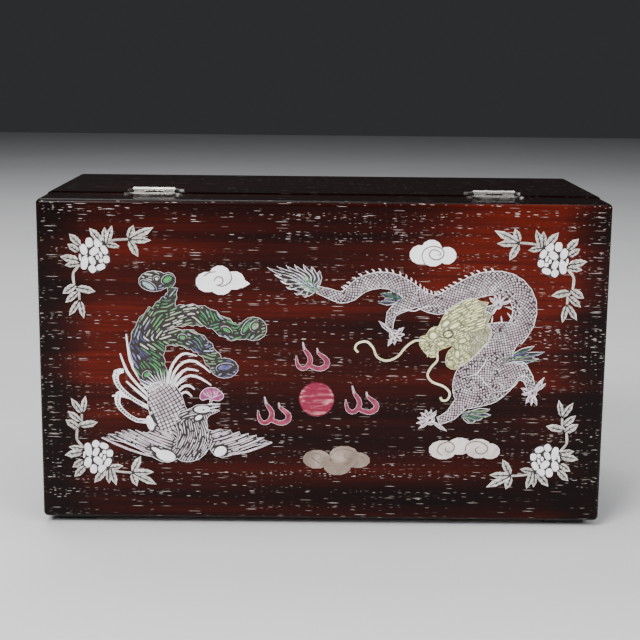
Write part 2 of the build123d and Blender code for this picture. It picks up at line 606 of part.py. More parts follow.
def hinge_screws(hinge_x, sign, fit=0.0):
    """The three countersunk screws of one leaf; a fit makes the tool that cuts their holes."""
    top = (Z_TOP if sign > 0 else Z_LID_TOP) + LEAF_T
    solids = []
    for x, y in screw_spots():
        place = (hinge_x + x, Y_SEAM + sign * y, top)
        head = LEAF_T * 0.8
        profile = [(0, SCREW_HEAD_R + fit), (head, SCREW_R + fit), (SCREW_LENGTH + fit, SCREW_R + fit)]
        screw = turned(place, (0, 0, -1), profile)
        if fit == 0:
            slot = block(-SCREW_HEAD_R, SCREW_HEAD_R, -SCREW_SLOT / 2, SCREW_SLOT / 2, -SCREW_SLOT, 1)
            screw = screw - Pos(*place) * Rot(0, 0, 40 * x + 20) * slot
        solids.append(screw)
    return Compound(children=[solid for screw in solids for solid in screw.solids()])


def hinge_leaf(hinge_x, sign):
    """Case leaf (sign 1, two outer knuckles) or lid leaf (sign -1, the middle knuckle)."""
    base = Z_TOP if sign > 0 else Z_LID_TOP
    middle = KNUCKLE_MIDDLE / 2
    if sign > 0:
        inner = middle + KNUCKLE_GAP
        spans = [(-inner - KNUCKLE_OUTER, -inner), (inner, inner + KNUCKLE_OUTER)]
    else:
        spans = [(-middle, middle)]
    plate = leaf_plate(sign, base)
    web_inner = KNUCKLE_GAP
    web_outer = KNUCKLE_RIM_R + KNUCKLE_GAP + LEAF_T
    for x0, x1 in spans:
        ys = sorted((Y_SEAM + sign * web_inner, Y_SEAM + sign * KNUCKLE_R))
        foot = sorted((Y_SEAM + sign * web_inner, Y_SEAM + sign * web_outer))
        plate = plate + block(x0, x1, ys[0], ys[1], base, Z_PIN)
        plate = plate + block(x0, x1, foot[0], foot[1], base, base + LEAF_T)
        plate = plate + knuckle(x0, x1)
    reach = middle + KNUCKLE_GAP + KNUCKLE_OUTER
    bore = rod((-reach - 1, Y_SEAM, Z_PIN), (1, 0, 0), PIN_R + RUNNING_FIT, 2 * reach + 2)
    leaf_solid = Pos(hinge_x, 0, 0) * (plate - bore)
    return leaf_solid - hinge_screws(hinge_x, sign, GLUE_FIT)


def hinge_pin(hinge_x):
    reach = KNUCKLE_MIDDLE / 2 + KNUCKLE_GAP + KNUCKLE_OUTER + RUNNING_FIT
    profile = [(-reach - PIN_HEAD_T, PIN_HEAD_R * 0.6), (-reach - PIN_HEAD_T / 2, PIN_HEAD_R), (-reach, PIN_HEAD_R),
               (-reach, PIN_R), (reach, PIN_R), (reach, PIN_HEAD_R), (reach + PIN_HEAD_T / 2, PIN_HEAD_R),
               (reach + PIN_HEAD_T, PIN_HEAD_R * 0.6)]
    return turned((hinge_x, Y_SEAM, Z_PIN), (1, 0, 0), profile)


def make_hinges():
    spots = (-HINGE_X, HINGE_X)
    save("hinge_case_leaves", *[hinge_leaf(x, 1) for x in spots])
    save("hinge_lid_leaves", *[hinge_leaf(x, -1) for x in spots])
    save("hinge_pins", *[hinge_pin(x) for x in spots])
    save("hinge_case_screws", *[hinge_screws(x, 1) for x in spots])
    save("hinge_lid_screws", *[hinge_screws(x, -1) for x in spots])


def make_lid():
    envelope = rounded_block(-WIDTH / 2, WIDTH / 2, Y_FRONT, Y_BACK, Z_CASE, Z_LID_TOP)
    board = block(-WIDTH / 2, WIDTH / 2, Y_FRONT, Y_SEAM - MOVING_GAP, Z_LID_BOTTOM, Z_LID_TOP) & envelope
    for hinge_x in (-HINGE_X, HINGE_X):
        board = board - hinge_screws(hinge_x, -1, GLUE_FIT)
    stud_z = LATCH_Z + LATCH_REACH
    stud_hole = rod((0, Y_FRONT, stud_z), (0, 1, 0), STUD_SHANK_R + GLUE_FIT, STUD_DEPTH + GLUE_FIT)
    save("lid_board", board - stud_hole)

    batten = block(-BATTEN_WIDTH / 2, BATTEN_WIDTH / 2, Y_FRONT + FRONT_RAIL_T + BATTEN_MARGIN,
                   Y_SEAM - BATTEN_MARGIN, Z_LID_BOTTOM - BATTEN_T, Z_LID_BOTTOM)
    batten = chamfer(batten.faces().sort_by(Axis.Z)[0].edges(), 1.0)
    save("lid_battens", *[Pos(x, 0, 0) * batten for x in (-BATTEN_X, BATTEN_X)])

    stud = turned((0, Y_FRONT, stud_z), (0, -1, 0), [
        (-STUD_DEPTH, STUD_SHANK_R), (0, STUD_SHANK_R), (0, STUD_FLANGE_R), (LATCH_PLATE_T * 0.6, STUD_FLANGE_R),
        (LATCH_PLATE_T, STUD_R), (HOOK_TOP, STUD_R), (HOOK_TOP, STUD_HEAD_R), (HOOK_TOP + STUD_HEAD_T * 0.6,
                                                                               STUD_HEAD_R),
        (HOOK_TOP + STUD_HEAD_T, STUD_HEAD_R * 0.6)])
    save("latch_stud", stud)


# ================================================================== latch
def make_latch():
    plate = turned((0, Y_FRONT, LATCH_Z), (0, -1, 0), [
        (0, LATCH_PLATE_R), (LATCH_PLATE_T * 0.5, LATCH_PLATE_R), (LATCH_PLATE_T, LATCH_PLATE_R - 1.2)])
    plate = plate - rod((0, Y_FRONT, LATCH_Z), (0, -1, 0), STUD_SHANK_R + GLUE_FIT, LATCH_PLATE_T + 1)
    save("latch_rosette", plate)

    pivot = turned((0, Y_FRONT, LATCH_Z), (0, -1, 0), [
        (-STUD_DEPTH, STUD_SHANK_R), (LATCH_PLATE_T, STUD_SHANK_R), (LATCH_PLATE_T, STUD_R), (HOOK_TOP, STUD_R),
        (HOOK_TOP, STUD_HEAD_R), (HOOK_TOP + STUD_HEAD_T * 0.6, STUD_HEAD_R),
        (HOOK_TOP + STUD_HEAD_T, STUD_HEAD_R * 0.6)])
    save("latch_pivot", pivot)

    catch = (0, -LATCH_REACH)
    ring = CATCH_R + CATCH_WALL
    arm = Pos(0, -LATCH_REACH / 2) * Rectangle(HOOK_WIDTH, LATCH_REACH - ring)
    shape = Circle(HOOK_EYE_R) + arm + Pos(*catch) * Circle(ring) + Pos(0, -LATCH_REACH / 3) * Circle(HOOK_WIDTH * 0.7)
    mouth = Pos(-ring, catch[1]) * Rectangle(2 * ring, 2 * CATCH_R)
    shape = shape - Circle(STUD_R + RUNNING_FIT) - Pos(*catch) * Circle(CATCH_R) - mouth
    curl = Pos(-CATCH_R - 0.4, catch[1] - CATCH_R - CATCH_WALL / 2) * Circle(CATCH_WALL * 0.75)
    shape = shape + (curl - Pos(*catch) * Circle(CATCH_R))
    hook = extrude(Plane(origin=(0, Y_FRONT - HOOK_BASE, LATCH_Z), x_dir=(1, 0, 0), z_dir=(0, -1, 0)) * shape, HOOK_T,
                   dir=(0, -1, 0))
    save("latch_hook", hook)


# ================================================================== carrying handles
def make_handles():
    for sign, name in ((1, "right"), (-1, "left")):
        face_x = sign * WIDTH / 2
        pommels = []
        for y in (Y_MIDDLE - HANDLE_HALF, Y_MIDDLE + HANDLE_HALF):
            ball = [(POMMEL_RISE + POMMEL_R * math.sin(a), POMMEL_R * math.cos(a))
                    for a in [math.radians(d) for d in (-40, 0, 40, 70)]]
            profile = [(-SIDE_T + 1, POMMEL_SHANK_R), (0, POMMEL_SHANK_R), (0, POMMEL_PLATE_R),
                       (POMMEL_PLATE_T * 0.5, POMMEL_PLATE_R), (POMMEL_PLATE_T, POMMEL_PLATE_R - 1.5),
                       (POMMEL_PLATE_T, POMMEL_NECK_R)] + ball + [(POMMEL_RISE + POMMEL_R, 0.2)]
            pommel = turned((face_x, y, HANDLE_Z), (sign, 0, 0), profile)
            hole = rod((face_x + sign * POMMEL_RISE, y - POMMEL_R, HANDLE_Z), (0, 1, 0),
                       BAIL_R + RUNNING_FIT, 2 * POMMEL_R)
            pommels.append(pommel - hole)
        save(f"handle_pommels_{name}", *pommels)

        inner = HANDLE_HALF - POMMEL_R - MOVING_GAP
        outer = HANDLE_HALF + POMMEL_R + MOVING_GAP
        arm = outer + HANDLE_BEND
        half = GRIP_LENGTH / 2
        side_plane = Plane(origin=(face_x + sign * POMMEL_RISE, Y_MIDDLE, HANDLE_Z), x_dir=(0, 1, 0), z_dir=(1, 0, 0))
        frame = RectangleRounded(2 * (arm + BAIL_R), HANDLE_DROP + 2 * BAIL_R, HANDLE_BEND + BAIL_R)
        frame = frame - RectangleRounded(2 * (arm - BAIL_R), HANDLE_DROP - 2 * BAIL_R, HANDLE_BEND - BAIL_R)
        frame = Pos(0, -HANDLE_DROP / 2) * frame - Rectangle(2 * outer, 3 * BAIL_R)
        bail = Pos(0, 0, -BAIL_R) * extrude(frame, 2 * BAIL_R, dir=(0, 0, 1))
        for end in (-1, 1):
            bail = bail + rod((end * inner, 0, 0), (end, 0, 0), BAIL_R, arm - inner)
        bail = bail + turned((-half, -HANDLE_DROP, 0), (1, 0, 0), [
            (0, GRIP_R * 0.9), (1, GRIP_R), (half, GRIP_R * 0.9), (GRIP_LENGTH - 1, GRIP_R),
            (GRIP_LENGTH, GRIP_R * 0.9)])
        save(f"handle_bail_{name}", side_plane * bail)


# ================================================================== drawers
def tail_outline(y_end, y_root, grow=0.0):
    """Dovetail tails of a drawer side, seen from its face, as (y, z) polygons."""
    pitch = DRAWER_HEIGHT / TAILS
    half_root = pitch * 0.26
    half_end = half_root + (y_root - y_end) * TAIL_SLOPE
    polygons = []
    for i in range(TAILS):
        z = pitch * (i + 0.5)
        polygons.append(Polygon((y_root, z - half_root - grow), (y_end - grow, z - half_end - grow),
                                (y_end - grow, z + half_end + grow), (y_root, z + half_root + grow), align=None))
    return union(polygons)


def drawer_pieces():
    """One drawer with its underside at z 0 and its middle at x 0."""
    half = DRAWER_WIDTH / 2
    y_root = Y_FRONT + DRAWER_FRONT_T
    y_end = Y_FRONT + DRAWER_LENGTH
    inner = half - DRAWER_SIDE_T
    groove_z = DRAWER_BOTTOM_RISE
    groove_top = groove_z + DRAWER_BOTTOM_T
    depth = DRAWER_SIDE_T / 2

    bottom = block(-inner - depth, inner + depth, y_root - depth, y_end, groove_z, groove_top)
    groove = block(-inner - depth - GLUE_FIT, inner + depth + GLUE_FIT, y_root - depth - GLUE_FIT, y_end + 1,
                   groove_z - GLUE_FIT, groove_top + GLUE_FIT)
    back_y = y_end - 2 * DRAWER_BACK_T
    back = block(-inner - GROOVE_DEPTH, inner + GROOVE_DEPTH, back_y, back_y + DRAWER_BACK_T,
                 groove_top + GLUE_FIT, DRAWER_HEIGHT - 2)
    back_seat = block(-inner - GROOVE_DEPTH - GLUE_FIT, inner + GROOVE_DEPTH + GLUE_FIT, back_y - GLUE_FIT,
                      back_y + DRAWER_BACK_T + GLUE_FIT, groove_top, DRAWER_HEIGHT + 1)

    side = block(inner, half, y_root, y_end, 0, DRAWER_HEIGHT)
    tails = extrude(Plane.YZ * tail_outline(Y_FRONT + LAP_T, y_root), DRAWER_SIDE_T, dir=(1, 0, 0))
    side = (side + Pos(inner, 0, 0) * tails) - groove - back_seat
    sockets = extrude(Plane.YZ * tail_outline(Y_FRONT + LAP_T, y_root, GLUE_FIT), DRAWER_SIDE_T + 1, dir=(1, 0, 0))

    front = block(-half, half, Y_FRONT, y_root, 0, DRAWER_HEIGHT)
    front = front - Pos(inner - GLUE_FIT, 0, 0) * sockets
    front = front - mirror(Pos(inner - GLUE_FIT, 0, 0) * sockets, Plane.YZ) - groove
    pull_z = DRAWER_HEIGHT / 2
    front = front - rod((0, Y_FRONT - 1, pull_z), (0, 1, 0), PULL_SHANK_R + GLUE_FIT, DRAWER_FRONT_T + 2)
    front = chamfer(front.faces().sort_by(Axis.Y)[0].outer_wire().edges(), 0.6)

    head = [(PULL_LENGTH - PULL_R * 0.75 + PULL_R * 0.75 * math.sin(a), PULL_R * math.cos(a))
            for a in [math.radians(d) for d in (-55, -10, 30, 65)]]
    pull = turned((0, Y_FRONT, pull_z), (0, -1, 0), [
        (-DRAWER_FRONT_T - NUT_T - 1, PULL_SHANK_R), (0, PULL_SHANK_R), (0, PULL_PLATE_R),
        (PULL_PLATE_T * 0.5, PULL_PLATE_R), (PULL_PLATE_T, PULL_PLATE_R - 1.5), (PULL_PLATE_T, PULL_NECK_R + 1),
        (PULL_PLATE_T + 3, PULL_NECK_R)] + head + [(PULL_LENGTH, 0.2)])
    nut = extrude(RegularPolygon(NUT_FLAT / 2, 6, major_radius=False) - Circle(PULL_SHANK_R + RUNNING_FIT), NUT_T,
                  dir=(0, 0, 1))
    nut = Plane(origin=(0, y_root, pull_z), z_dir=(0, 1, 0)) * nut
    return {"front": [front], "sides": [side, mirror(side, Plane.YZ)], "back": [back], "bottom": [bottom],
            "pull": [pull, nut]}


def make_drawers():
    pieces = drawer_pieces()
    for row, z in (("lower", Z_FLOOR + MOVING_GAP), ("upper", Z_ROW_2 + MOVING_GAP)):
        for column, x in (("left", -DRAWER_X), ("right", DRAWER_X)):
            for piece, solids in pieces.items():
                save(f"drawer_{row}_{column}_{piece}", *[Pos(x, 0, z) * solid for solid in solids])


plates_by_node = inlay_plates()
make_case(plates_by_node)
for node, plate in plates_by_node.items():
    save(node, plate)
make_hinges()
make_lid()
make_latch()
make_handles()
make_drawers()
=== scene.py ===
"""Looks of the mahjong case: lacquered dark hardwood, shell inlay and pale brass fittings."""
import bisect
import math
import random

import bpy
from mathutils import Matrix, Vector
from mathutils.bvhtree import BVHTree


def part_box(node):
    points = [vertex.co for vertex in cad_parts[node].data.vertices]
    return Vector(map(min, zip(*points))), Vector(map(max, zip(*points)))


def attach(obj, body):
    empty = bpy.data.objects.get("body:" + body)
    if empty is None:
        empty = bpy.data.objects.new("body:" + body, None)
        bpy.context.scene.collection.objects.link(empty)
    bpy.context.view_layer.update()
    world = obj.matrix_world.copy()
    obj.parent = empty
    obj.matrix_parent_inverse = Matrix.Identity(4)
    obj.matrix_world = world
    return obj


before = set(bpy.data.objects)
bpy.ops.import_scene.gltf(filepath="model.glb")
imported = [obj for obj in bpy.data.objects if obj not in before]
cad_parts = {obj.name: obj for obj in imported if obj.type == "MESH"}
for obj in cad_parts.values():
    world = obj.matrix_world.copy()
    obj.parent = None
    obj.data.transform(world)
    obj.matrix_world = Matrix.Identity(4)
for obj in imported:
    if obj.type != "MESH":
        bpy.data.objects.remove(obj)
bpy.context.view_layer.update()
dice = random.Random(7)

# ------------------------ sizes
MM = 0.001                                 # the frame is in metres
BACK_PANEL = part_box("back_panel")
BACK_Y = BACK_PANEL[1][1]                  # outer face of the back panel
PANEL_FOOT = BACK_PANEL[0][2]
PANEL_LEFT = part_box("side_right")[1][0]    # the panel's left edge as the camera sees it

SUNK = -0.05                               # mm off the wood: the foot of all carved pieces
LOW_TOP = 0.36                             # tops, in mm off the wood: leaves and thin veins
TILE_TOP = 0.40                            # tiles and strands
LINE_TOP = TILE_TOP + 0.04                 # strands that cross tiles
BOSS_TOP = TILE_TOP + 0.05                 # large smooth tiles
INK_TOP = TILE_TOP + 0.06                  # dark lines on tiles
FLAT_TOP = 0.32                            # lines on smooth shell
ART_WIDTH, ART_HEIGHT = 340, 200           # mm, the face that the four corner sprigs share

# ------------------------ camera and light
CAMERA_PLACE = (0.00636, 0.92355, 0.28579)
CAMERA_TURN = (79.279, -0.5855, 179.807)   # degrees
CAMERA_LENS = 79.97
SENSOR_WIDTH = 36.0
WORLD_TINT = (0.9, 0.93, 1.0, 1)
WORLD_GLOW = 0.035
LIGHT_TARGET = (0, 0, 0.1)
SOFT_BOXES = {                             # place, size and watts
    "key": ((0.75, 1.25, 1.35), (0.8, 0.8), 46), "fill": ((-1.1, 1.2, 0.9), (1.0, 1.0), 24),
    "top": ((0, 0.1, 1.9), (1.2, 0.8), 20), "front": ((0.5, -1.2, 2.0), (1.2, 1.0), 30),
}
FLOOR_REACH = 4.0


def put_in_scene(made):
    bpy.context.scene.collection.objects.link(made)
    return made


def make_camera():
    data = bpy.data.cameras.new("camera")
    data.lens = CAMERA_LENS
    data.sensor_width = SENSOR_WIDTH
    camera = put_in_scene(bpy.data.objects.new("camera", data))
    camera.location = CAMERA_PLACE
    camera.rotation_euler = [math.radians(a) for a in CAMERA_TURN]
    bpy.context.scene.camera = camera


def make_studio():
    world = bpy.data.worlds.new("studio")
    world.use_nodes = True
    background = world.node_tree.nodes["Background"]
    background.inputs[0].default_value = WORLD_TINT
    background.inputs[1].default_value = WORLD_GLOW
    bpy.context.scene.world = world
    for name, (place, size, watts) in SOFT_BOXES.items():
        data = bpy.data.lights.new(name, "AREA")
        data.shape = "RECTANGLE"
        data.size, data.size_y = size
        data.energy = watts
        lamp = put_in_scene(bpy.data.objects.new(name, data))
        lamp.location = place
        aim = Vector(LIGHT_TARGET) - Vector(place)
        lamp.rotation_euler = aim.to_track_quat("-Z", "Y").to_euler()


def make_floor():
    mesh = bpy.data.meshes.new("floor")
    corners = ((-1, -1), (1, -1), (1, 1), (-1, 1))
    mesh.from_pydata([(x * FLOOR_REACH, y * FLOOR_REACH, 0) for x, y in corners], [], [(0, 1, 2, 3)])
    floor = put_in_scene(bpy.data.objects.new("floor", mesh))
    shader = Shader("floor")
    mottle = shader.noise(3, 3, 0.5)
    colour = shader.ramp(mottle, [(0.3, (0.58, 0.585, 0.60)), (0.7, (0.62, 0.625, 0.64))])
    mesh.materials.append(shader.finish(colour, 0.6))


# ------------------------ node helpers
class Shader:
    """A material's node tree with short calls for the nodes used here."""

    def __init__(self, name):
        self.material = bpy.data.materials.new(name)
        self.material.use_nodes = True
        self.tree = self.material.node_tree
        self.bsdf = self.tree.nodes["Principled BSDF"]

    def feed(self, socket, value):
        """A number, vector or colour is set on the socket, and a node's output is linked to it."""
        if isinstance(value, (int, float)):
            socket.default_value = value
        elif isinstance(value, (tuple, list)):
            socket.default_value = (*value, 1) if socket.type == "RGBA" else value
        else:
            self.tree.links.new(value, socket)

    def node(self, kind, inputs, **settings):
        """The outputs of a new node, its settings made and its inputs fed by name or number."""
        made = self.tree.nodes.new(kind)
        for key, value in settings.items():
            setattr(made, key, value)
        for key, value in inputs.items():
            self.feed(made.inputs[key], value)
        return made.outputs

    def coords(self, scale, turn=(0, 0, 0), shift=(0, 0, 0)):
        """Place on the case in metres, turned by degrees, then scaled and shifted."""
        place = self.node("ShaderNodeTexCoord", {})["Object"]
        spun = self.node("ShaderNodeMapping", {0: place, "Rotation": [math.radians(a) for a in turn]})[0]
        return self.node("ShaderNodeMapping", {0: spun, "Scale": scale, "Location": shift})[0]

    def axes(self):
        """The place on the case as its x, y and z."""
        return self.node("ShaderNodeSeparateXYZ", {0: self.coords((1, 1, 1))})

    def noise(self, scale, detail, rough, distortion=0.0, turn=(0, 0, 0), shift=(0, 0, 0)):
        """Noise of so many cells a metre, along each axis or the same along all."""
        scale = (scale, scale, scale) if isinstance(scale, (int, float)) else scale
        return self.node("ShaderNodeTexNoise", {
            "Vector": self.coords(scale, turn, shift), "Scale": 1.0, "Detail": detail,
            "Roughness": rough, "Distortion": distortion,
        })[0]

    def own_tone(self):
        """The tone that a carving gave to this piece."""
        return self.node("ShaderNodeAttribute", {}, attribute_name="tone")["Fac"]

    def ramp(self, source, stops):
        made = self.tree.nodes.new("ShaderNodeValToRGB")
        elements = made.color_ramp.elements
        while len(elements) < len(stops):
            elements.new(0.5)
        for element, (place, colour) in zip(elements, stops):
            element.position = place
            element.color = (*colour, 1)
        self.feed(made.inputs[0], source)
        return made.outputs[0]

    def math(self, kind, a, b=0.0, clamp=False):
        return self.node("ShaderNodeMath", {0: a, 1: b}, operation=kind, use_clamp=clamp)[0]

    def step(self, source, low, high, out_low=0.0, out_high=1.0):
        """Smooth step from one value to another as the source goes from low to high."""
        inputs = dict(enumerate((source, low, high, out_low, out_high)))
        return self.node("ShaderNodeMapRange", inputs, interpolation_type="SMOOTHSTEP")[0]

    def mix(self, factor, a, b, kind="MIX"):
        return self.node("ShaderNodeMix", {0: factor, 6: a, 7: b}, data_type="RGBA", blend_type=kind)[2]

    def bump(self, height, strength, depth):
        """Relief so many mm deep."""
        return self.node("ShaderNodeBump", {
            "Strength": strength, "Distance": depth * MM, "Height": height,
        })[0]

    def finish(self, colour, rough, normal=None, **sockets):
        sockets.update(Base_Color=colour, Roughness=rough)
        if normal is not None:
            sockets["Normal"] = normal
        for name, value in sockets.items():
            self.feed(self.bsdf.inputs[name.replace("_", " ")], value)
        return self.material


# ------------------------ wood
GRAIN_TURN = {"x": (0, 0, 0), "y": (0, 0, 90)}
WOOD_BANDS = (2.2, 44, 44)                 # noise cells a metre, along and across the grain
WOOD_FIBRES = (7, 420, 420)
WOOD_CLOUDS = (5, 12, 12)
WOOD_TONES = [
    (0.35, (0.0040, 0.0011, 0.0009)), (0.46, (0.0125, 0.0016, 0.0010)),
    (0.57, (0.032, 0.0027, 0.0013)), (0.72, (0.086, 0.0064, 0.0025)),
]
WOOD_FIBRE_TONE = (0.006, 0.0012, 0.0010)
PAINTED_RED_GLOWS = (                              # painted glow: brighter red patches that stand in for light in the lacquer; middle (x, z), reach (x, z) in metres, strength
    ((0.110, 0.168), (0.085, 0.045), 0.09), ((-0.115, 0.160), (0.070, 0.070), 0.26),
    ((-0.02, 0.145), (0.09, 0.030), 0.07), ((0.130, 0.085), (0.035, 0.075), 0.11),
    ((-0.03, 0.040), (0.13, 0.016), 0.10),
)
END_SHADE = (0.78, 1.02, 0.22)             # from and to these shares of the half width, and strength
FOOT_SHADE = (0.05, 0.12)                  # metres above the floor, and strength
# drops of tone: the larger one is painted shade on the lid top and rear rail, the smaller one is for the
# wood that carries the painted glow
SHADED_TOP_DARKENING, GLOWING_DARKENING = 0.22, 0.05
PORE_CROWDS = (5, 22, 22)                  # noise cells a metre where pores crowd
PORE_ROWS = (6, 360, 360)                  # and where they line up in rows
PORE_SETS = (                              # cell in mm, share filled, thickness, shift, tilt in degrees
    ((5.6, 2.0, 0.58), 0.66, 0.36, (0.3, 0.1, 0.2), 1.5),
    ((3.0, 1.6, 0.57), 0.68, 0.36, (5.1, 2.3, 4.7), -3.0),
    ((17, 2.6, 0.62), 0.36, 0.27, (2.4, 6.6, 1.9), 0.6),
)
PORE_TONES = ((0.24, 0.16, 0.13), (0.64, 0.59, 0.56))


def pores(shader, turn, cell, share, thick, shift, tilt):
    """Short pale vessels along the grain: one stretched cell each, some cells empty."""
    tilted = (turn[0] + tilt, turn[1] + tilt, turn[2])
    vector = shader.coords([1 / (size * MM) for size in cell], tilted, shift)
    cells = shader.node("ShaderNodeTexVoronoi", {"Vector": vector, "Scale": 1.0, "Randomness": 1.0},
                        feature="F1", distance="EUCLIDEAN")
    pick = shader.node("ShaderNodeSeparateColor", {0: cells["Color"]})
    reach = shader.step(pick[0], 1 - share, 1.0, 0.0, thick)
    inner = shader.math("MULTIPLY", reach, 0.55)
    return shader.step(cells["Distance"], reach, inner), pick[1]


def wood_ground(shader, turn, fine, shade, height, painted_glow):
    """Red-brown to black streaks, with soft red patches of painted glow that stand in for light in the
    lacquer.
    """
    wide = shader.noise(WOOD_BANDS, 4, 0.6, 0.3, turn, (4.2, 0, 1.3))
    cloud = shader.noise(WOOD_CLOUDS, 2, 0.5, turn=turn, shift=(3, 1, 2))
    tone = shader.math("ADD", shader.math("MULTIPLY", wide, 0.8), shader.math("MULTIPLY", cloud, 0.3))
    foot = shader.step(height, 0.0, *FOOT_SHADE, 0.0)
    tone = shader.math("SUBTRACT", tone, shader.math("ADD", shade, foot))
    tone = shader.math("SUBTRACT", tone, GLOWING_DARKENING if painted_glow else SHADED_TOP_DARKENING)
    # painted glow: each patch lifts the tone towards its middle, as if light glowed there
    for (x, z), (reach_x, reach_z), strength in PAINTED_RED_GLOWS if painted_glow else ():
        spot = shader.coords((1 / reach_x, 0, 1 / reach_z), shift=(-x / reach_x, 0, -z / reach_z))
        away = shader.node("ShaderNodeVectorMath", {0: spot}, operation="LENGTH")["Value"]
        tone = shader.math("ADD", tone, shader.step(away, 0.2, 1.2, strength, 0.0))
    ground = shader.ramp(tone, WOOD_TONES)
    return shader.mix(shader.step(fine, 0.35, 0.7, 0.0, 0.5), ground, WOOD_FIBRE_TONE)


def dark_wood(name, grain, flecks, painted_glow=True, coat=0.14):
    """Near-black, red-streaked hardwood under clear lacquer."""
    shader = Shader(name)
    turn = GRAIN_TURN[grain]
    fine = shader.noise(WOOD_FIBRES, 3, 0.6, turn=turn)
    x, _, height = shader.axes()
    start, end, strength = END_SHADE
    shade = shader.step(shader.math("ABSOLUTE", x), PANEL_LEFT * start, PANEL_LEFT * end, 0.0, strength)
    ground = wood_ground(shader, turn, fine, shade, height, painted_glow)
    (dashes, pick), (short, _), (long, _) = [pores(shader, turn, *pore_set) for pore_set in PORE_SETS]
    crowd = shader.step(shader.noise(PORE_CROWDS, 2, 0.5, turn=turn, shift=(9, 4, 7)), 0.42, 0.6)
    crowd = shader.math("ADD", crowd, shader.math("MULTIPLY", shade, 4.0), clamp=True)
    rows = shader.step(shader.noise(PORE_ROWS, 2, 0.5, turn=turn, shift=(6, 2, 8)), 0.47, 0.56)
    marks = shader.math("MAXIMUM", dashes, shader.math("MULTIPLY", short, crowd))
    marks = shader.math("MAXIMUM", shader.math("MULTIPLY", marks, rows), long)
    share = shader.math("MULTIPLY", marks, flecks)
    colour = shader.mix(share, ground, shader.mix(pick, *PORE_TONES))
    normal = shader.bump(shader.math("SUBTRACT", 1.0, marks), 0.2, 0.05)
    rough = shader.step(fine, 0.3, 0.75, 0.24, 0.36)
    return shader.finish(colour, rough, normal, Specular_IOR_Level=coat / 2, Coat_Weight=coat,
                         Coat_Roughness=0.06, Coat_IOR=1.35)


def plain_wood(name, grain):
    """Oiled brown hardwood of the inner boards."""
    shader = Shader(name)
    turn = GRAIN_TURN[grain]
    wide = shader.noise((3, 55, 55), 4, 0.55, 0.4, turn)
    fine = shader.noise((12, 700, 700), 3, 0.6, turn=turn)
    colour = shader.ramp(wide, [
        (0.3, (0.10, 0.038, 0.018)), (0.55, (0.19, 0.08, 0.04)), (0.75, (0.27, 0.125, 0.065)),
    ])
    colour = shader.mix(shader.step(fine, 0.4, 0.7, 0.0, 0.45), colour, (0.06, 0.022, 0.012))
    rough = shader.step(fine, 0.3, 0.7, 0.45, 0.62)
    return shader.finish(colour, rough, shader.bump(fine, 0.2, 0.08), Specular_IOR_Level=0.35)


# ------------------------ metal, pads and lacquer
def pale_brass(name):
    """Polished nickel brass, slightly dulled in patches."""
    shader = Shader(name)
    patch = shader.noise(140, 4, 0.6)
    scratch = shader.noise((300, 2600, 2600), 2, 0.6)
    colour = shader.ramp(patch, [
        (0.3, (0.38, 0.37, 0.35)), (0.6, (0.58, 0.56, 0.53)), (0.8, (0.74, 0.72, 0.69)),
    ])
    dull = shader.step(patch, 0.35, 0.7, 0.34, 0.17)
    rough = shader.math("ADD", dull, shader.math("MULTIPLY", scratch, 0.08))
    return shader.finish(colour, rough, shader.bump(scratch, 0.12, 0.03), Metallic=1.0)


def grainy(name, dark, light, cells=700, low=0.3, rough=0.5, strength=0.2, depth=0.05):
    """Dull grainy stuff: the lacquer between the shell tiles, or the pads under the feet."""
    shader = Shader(name)
    grit = shader.noise(cells, 3, 0.6)
    colour = shader.ramp(grit, [(low, dark), (0.7, light)])
    return shader.finish(colour, rough, shader.bump(grit, strength, depth))


# ------------------------ shell
def shell(name, dark, middle, light, blush, scale, gloss=0.6, streak=(1, 1, 1)):
    """Nacre: soft drifting tints, brighter where it is smooth, each tile with its own share."""
    shader = Shader(name)
    flow = shader.noise([scale * share for share in streak], 4, 0.6, 1.1)
    tint = shader.noise(60, 2, 0.5, 0.6, shift=(2, 5, 1))
    colour = shader.ramp(flow, [(0.3, dark), (0.5, middle), (0.7, light)])
    colour = shader.mix(shader.step(tint, 0.45, 0.65, 0.0, 0.6), colour, blush)
    colour = shader.mix(shader.math("MULTIPLY", shader.own_tone(), 0.55), colour, dark, "MULTIPLY")
    return shader.finish(colour, 0.24, shader.bump(flow, 0.12, 0.1), Specular_IOR_Level=gloss,
                         Coat_Weight=gloss * 0.8, Coat_Roughness=0.08)


def abalone(name):
    """Green, blue and violet shell; each tile takes its own tint, with growth lines across it."""
    shader = Shader(name)
    flow = shader.noise(160, 3, 0.6, 1.6)
    drift = shader.math("MULTIPLY", shader.math("SUBTRACT", flow, 0.5), 0.35)
    colour = shader.ramp(shader.math("ADD", shader.own_tone(), drift), [
        (0.04, (0.05, 0.045, 0.16)), (0.16, (0.16, 0.14, 0.36)), (0.28, (0.34, 0.44, 0.50)),
        (0.40, (0.02, 0.12, 0.04)), (0.53, (0.03, 0.255, 0.062)), (0.68, (0.14, 0.25, 0.12)),
        (0.82, (0.38, 0.42, 0.28)), (0.96, (0.56, 0.58, 0.54)),
    ])
    lines = shader.noise((380, 380, 200), 3, 0.6, 2.2, shift=(1, 2, 3))
    colour = shader.mix(shader.step(lines, 0.56, 0.68, 0.0, 0.75), colour, (0.010, 0.014, 0.014))
    return shader.finish(colour, 0.22, shader.bump(lines, 0.15, 0.1), Specular_IOR_Level=0.6,
                         Coat_Weight=0.6, Coat_Roughness=0.07)


CLOUD_TINTS = {                            # dark, middle and light of each cloud shell
    "white": ((0.86, 0.86, 0.88), (0.95, 0.95, 0.97), (1.0, 1.0, 1.0)),
    "cream": ((0.50, 0.42, 0.38), (0.68, 0.61, 0.57), (0.84, 0.79, 0.76)),
    "brown": ((0.145, 0.098, 0.068), (0.235, 0.168, 0.128), (0.37, 0.285, 0.23)),
}
UPPER_CLOUDS = (0.08, 0.12)                # heights between which the shell turns white
BROWN_CLOUD = (-0.06, -0.03)               # x between which the lower shell turns from cream to brown


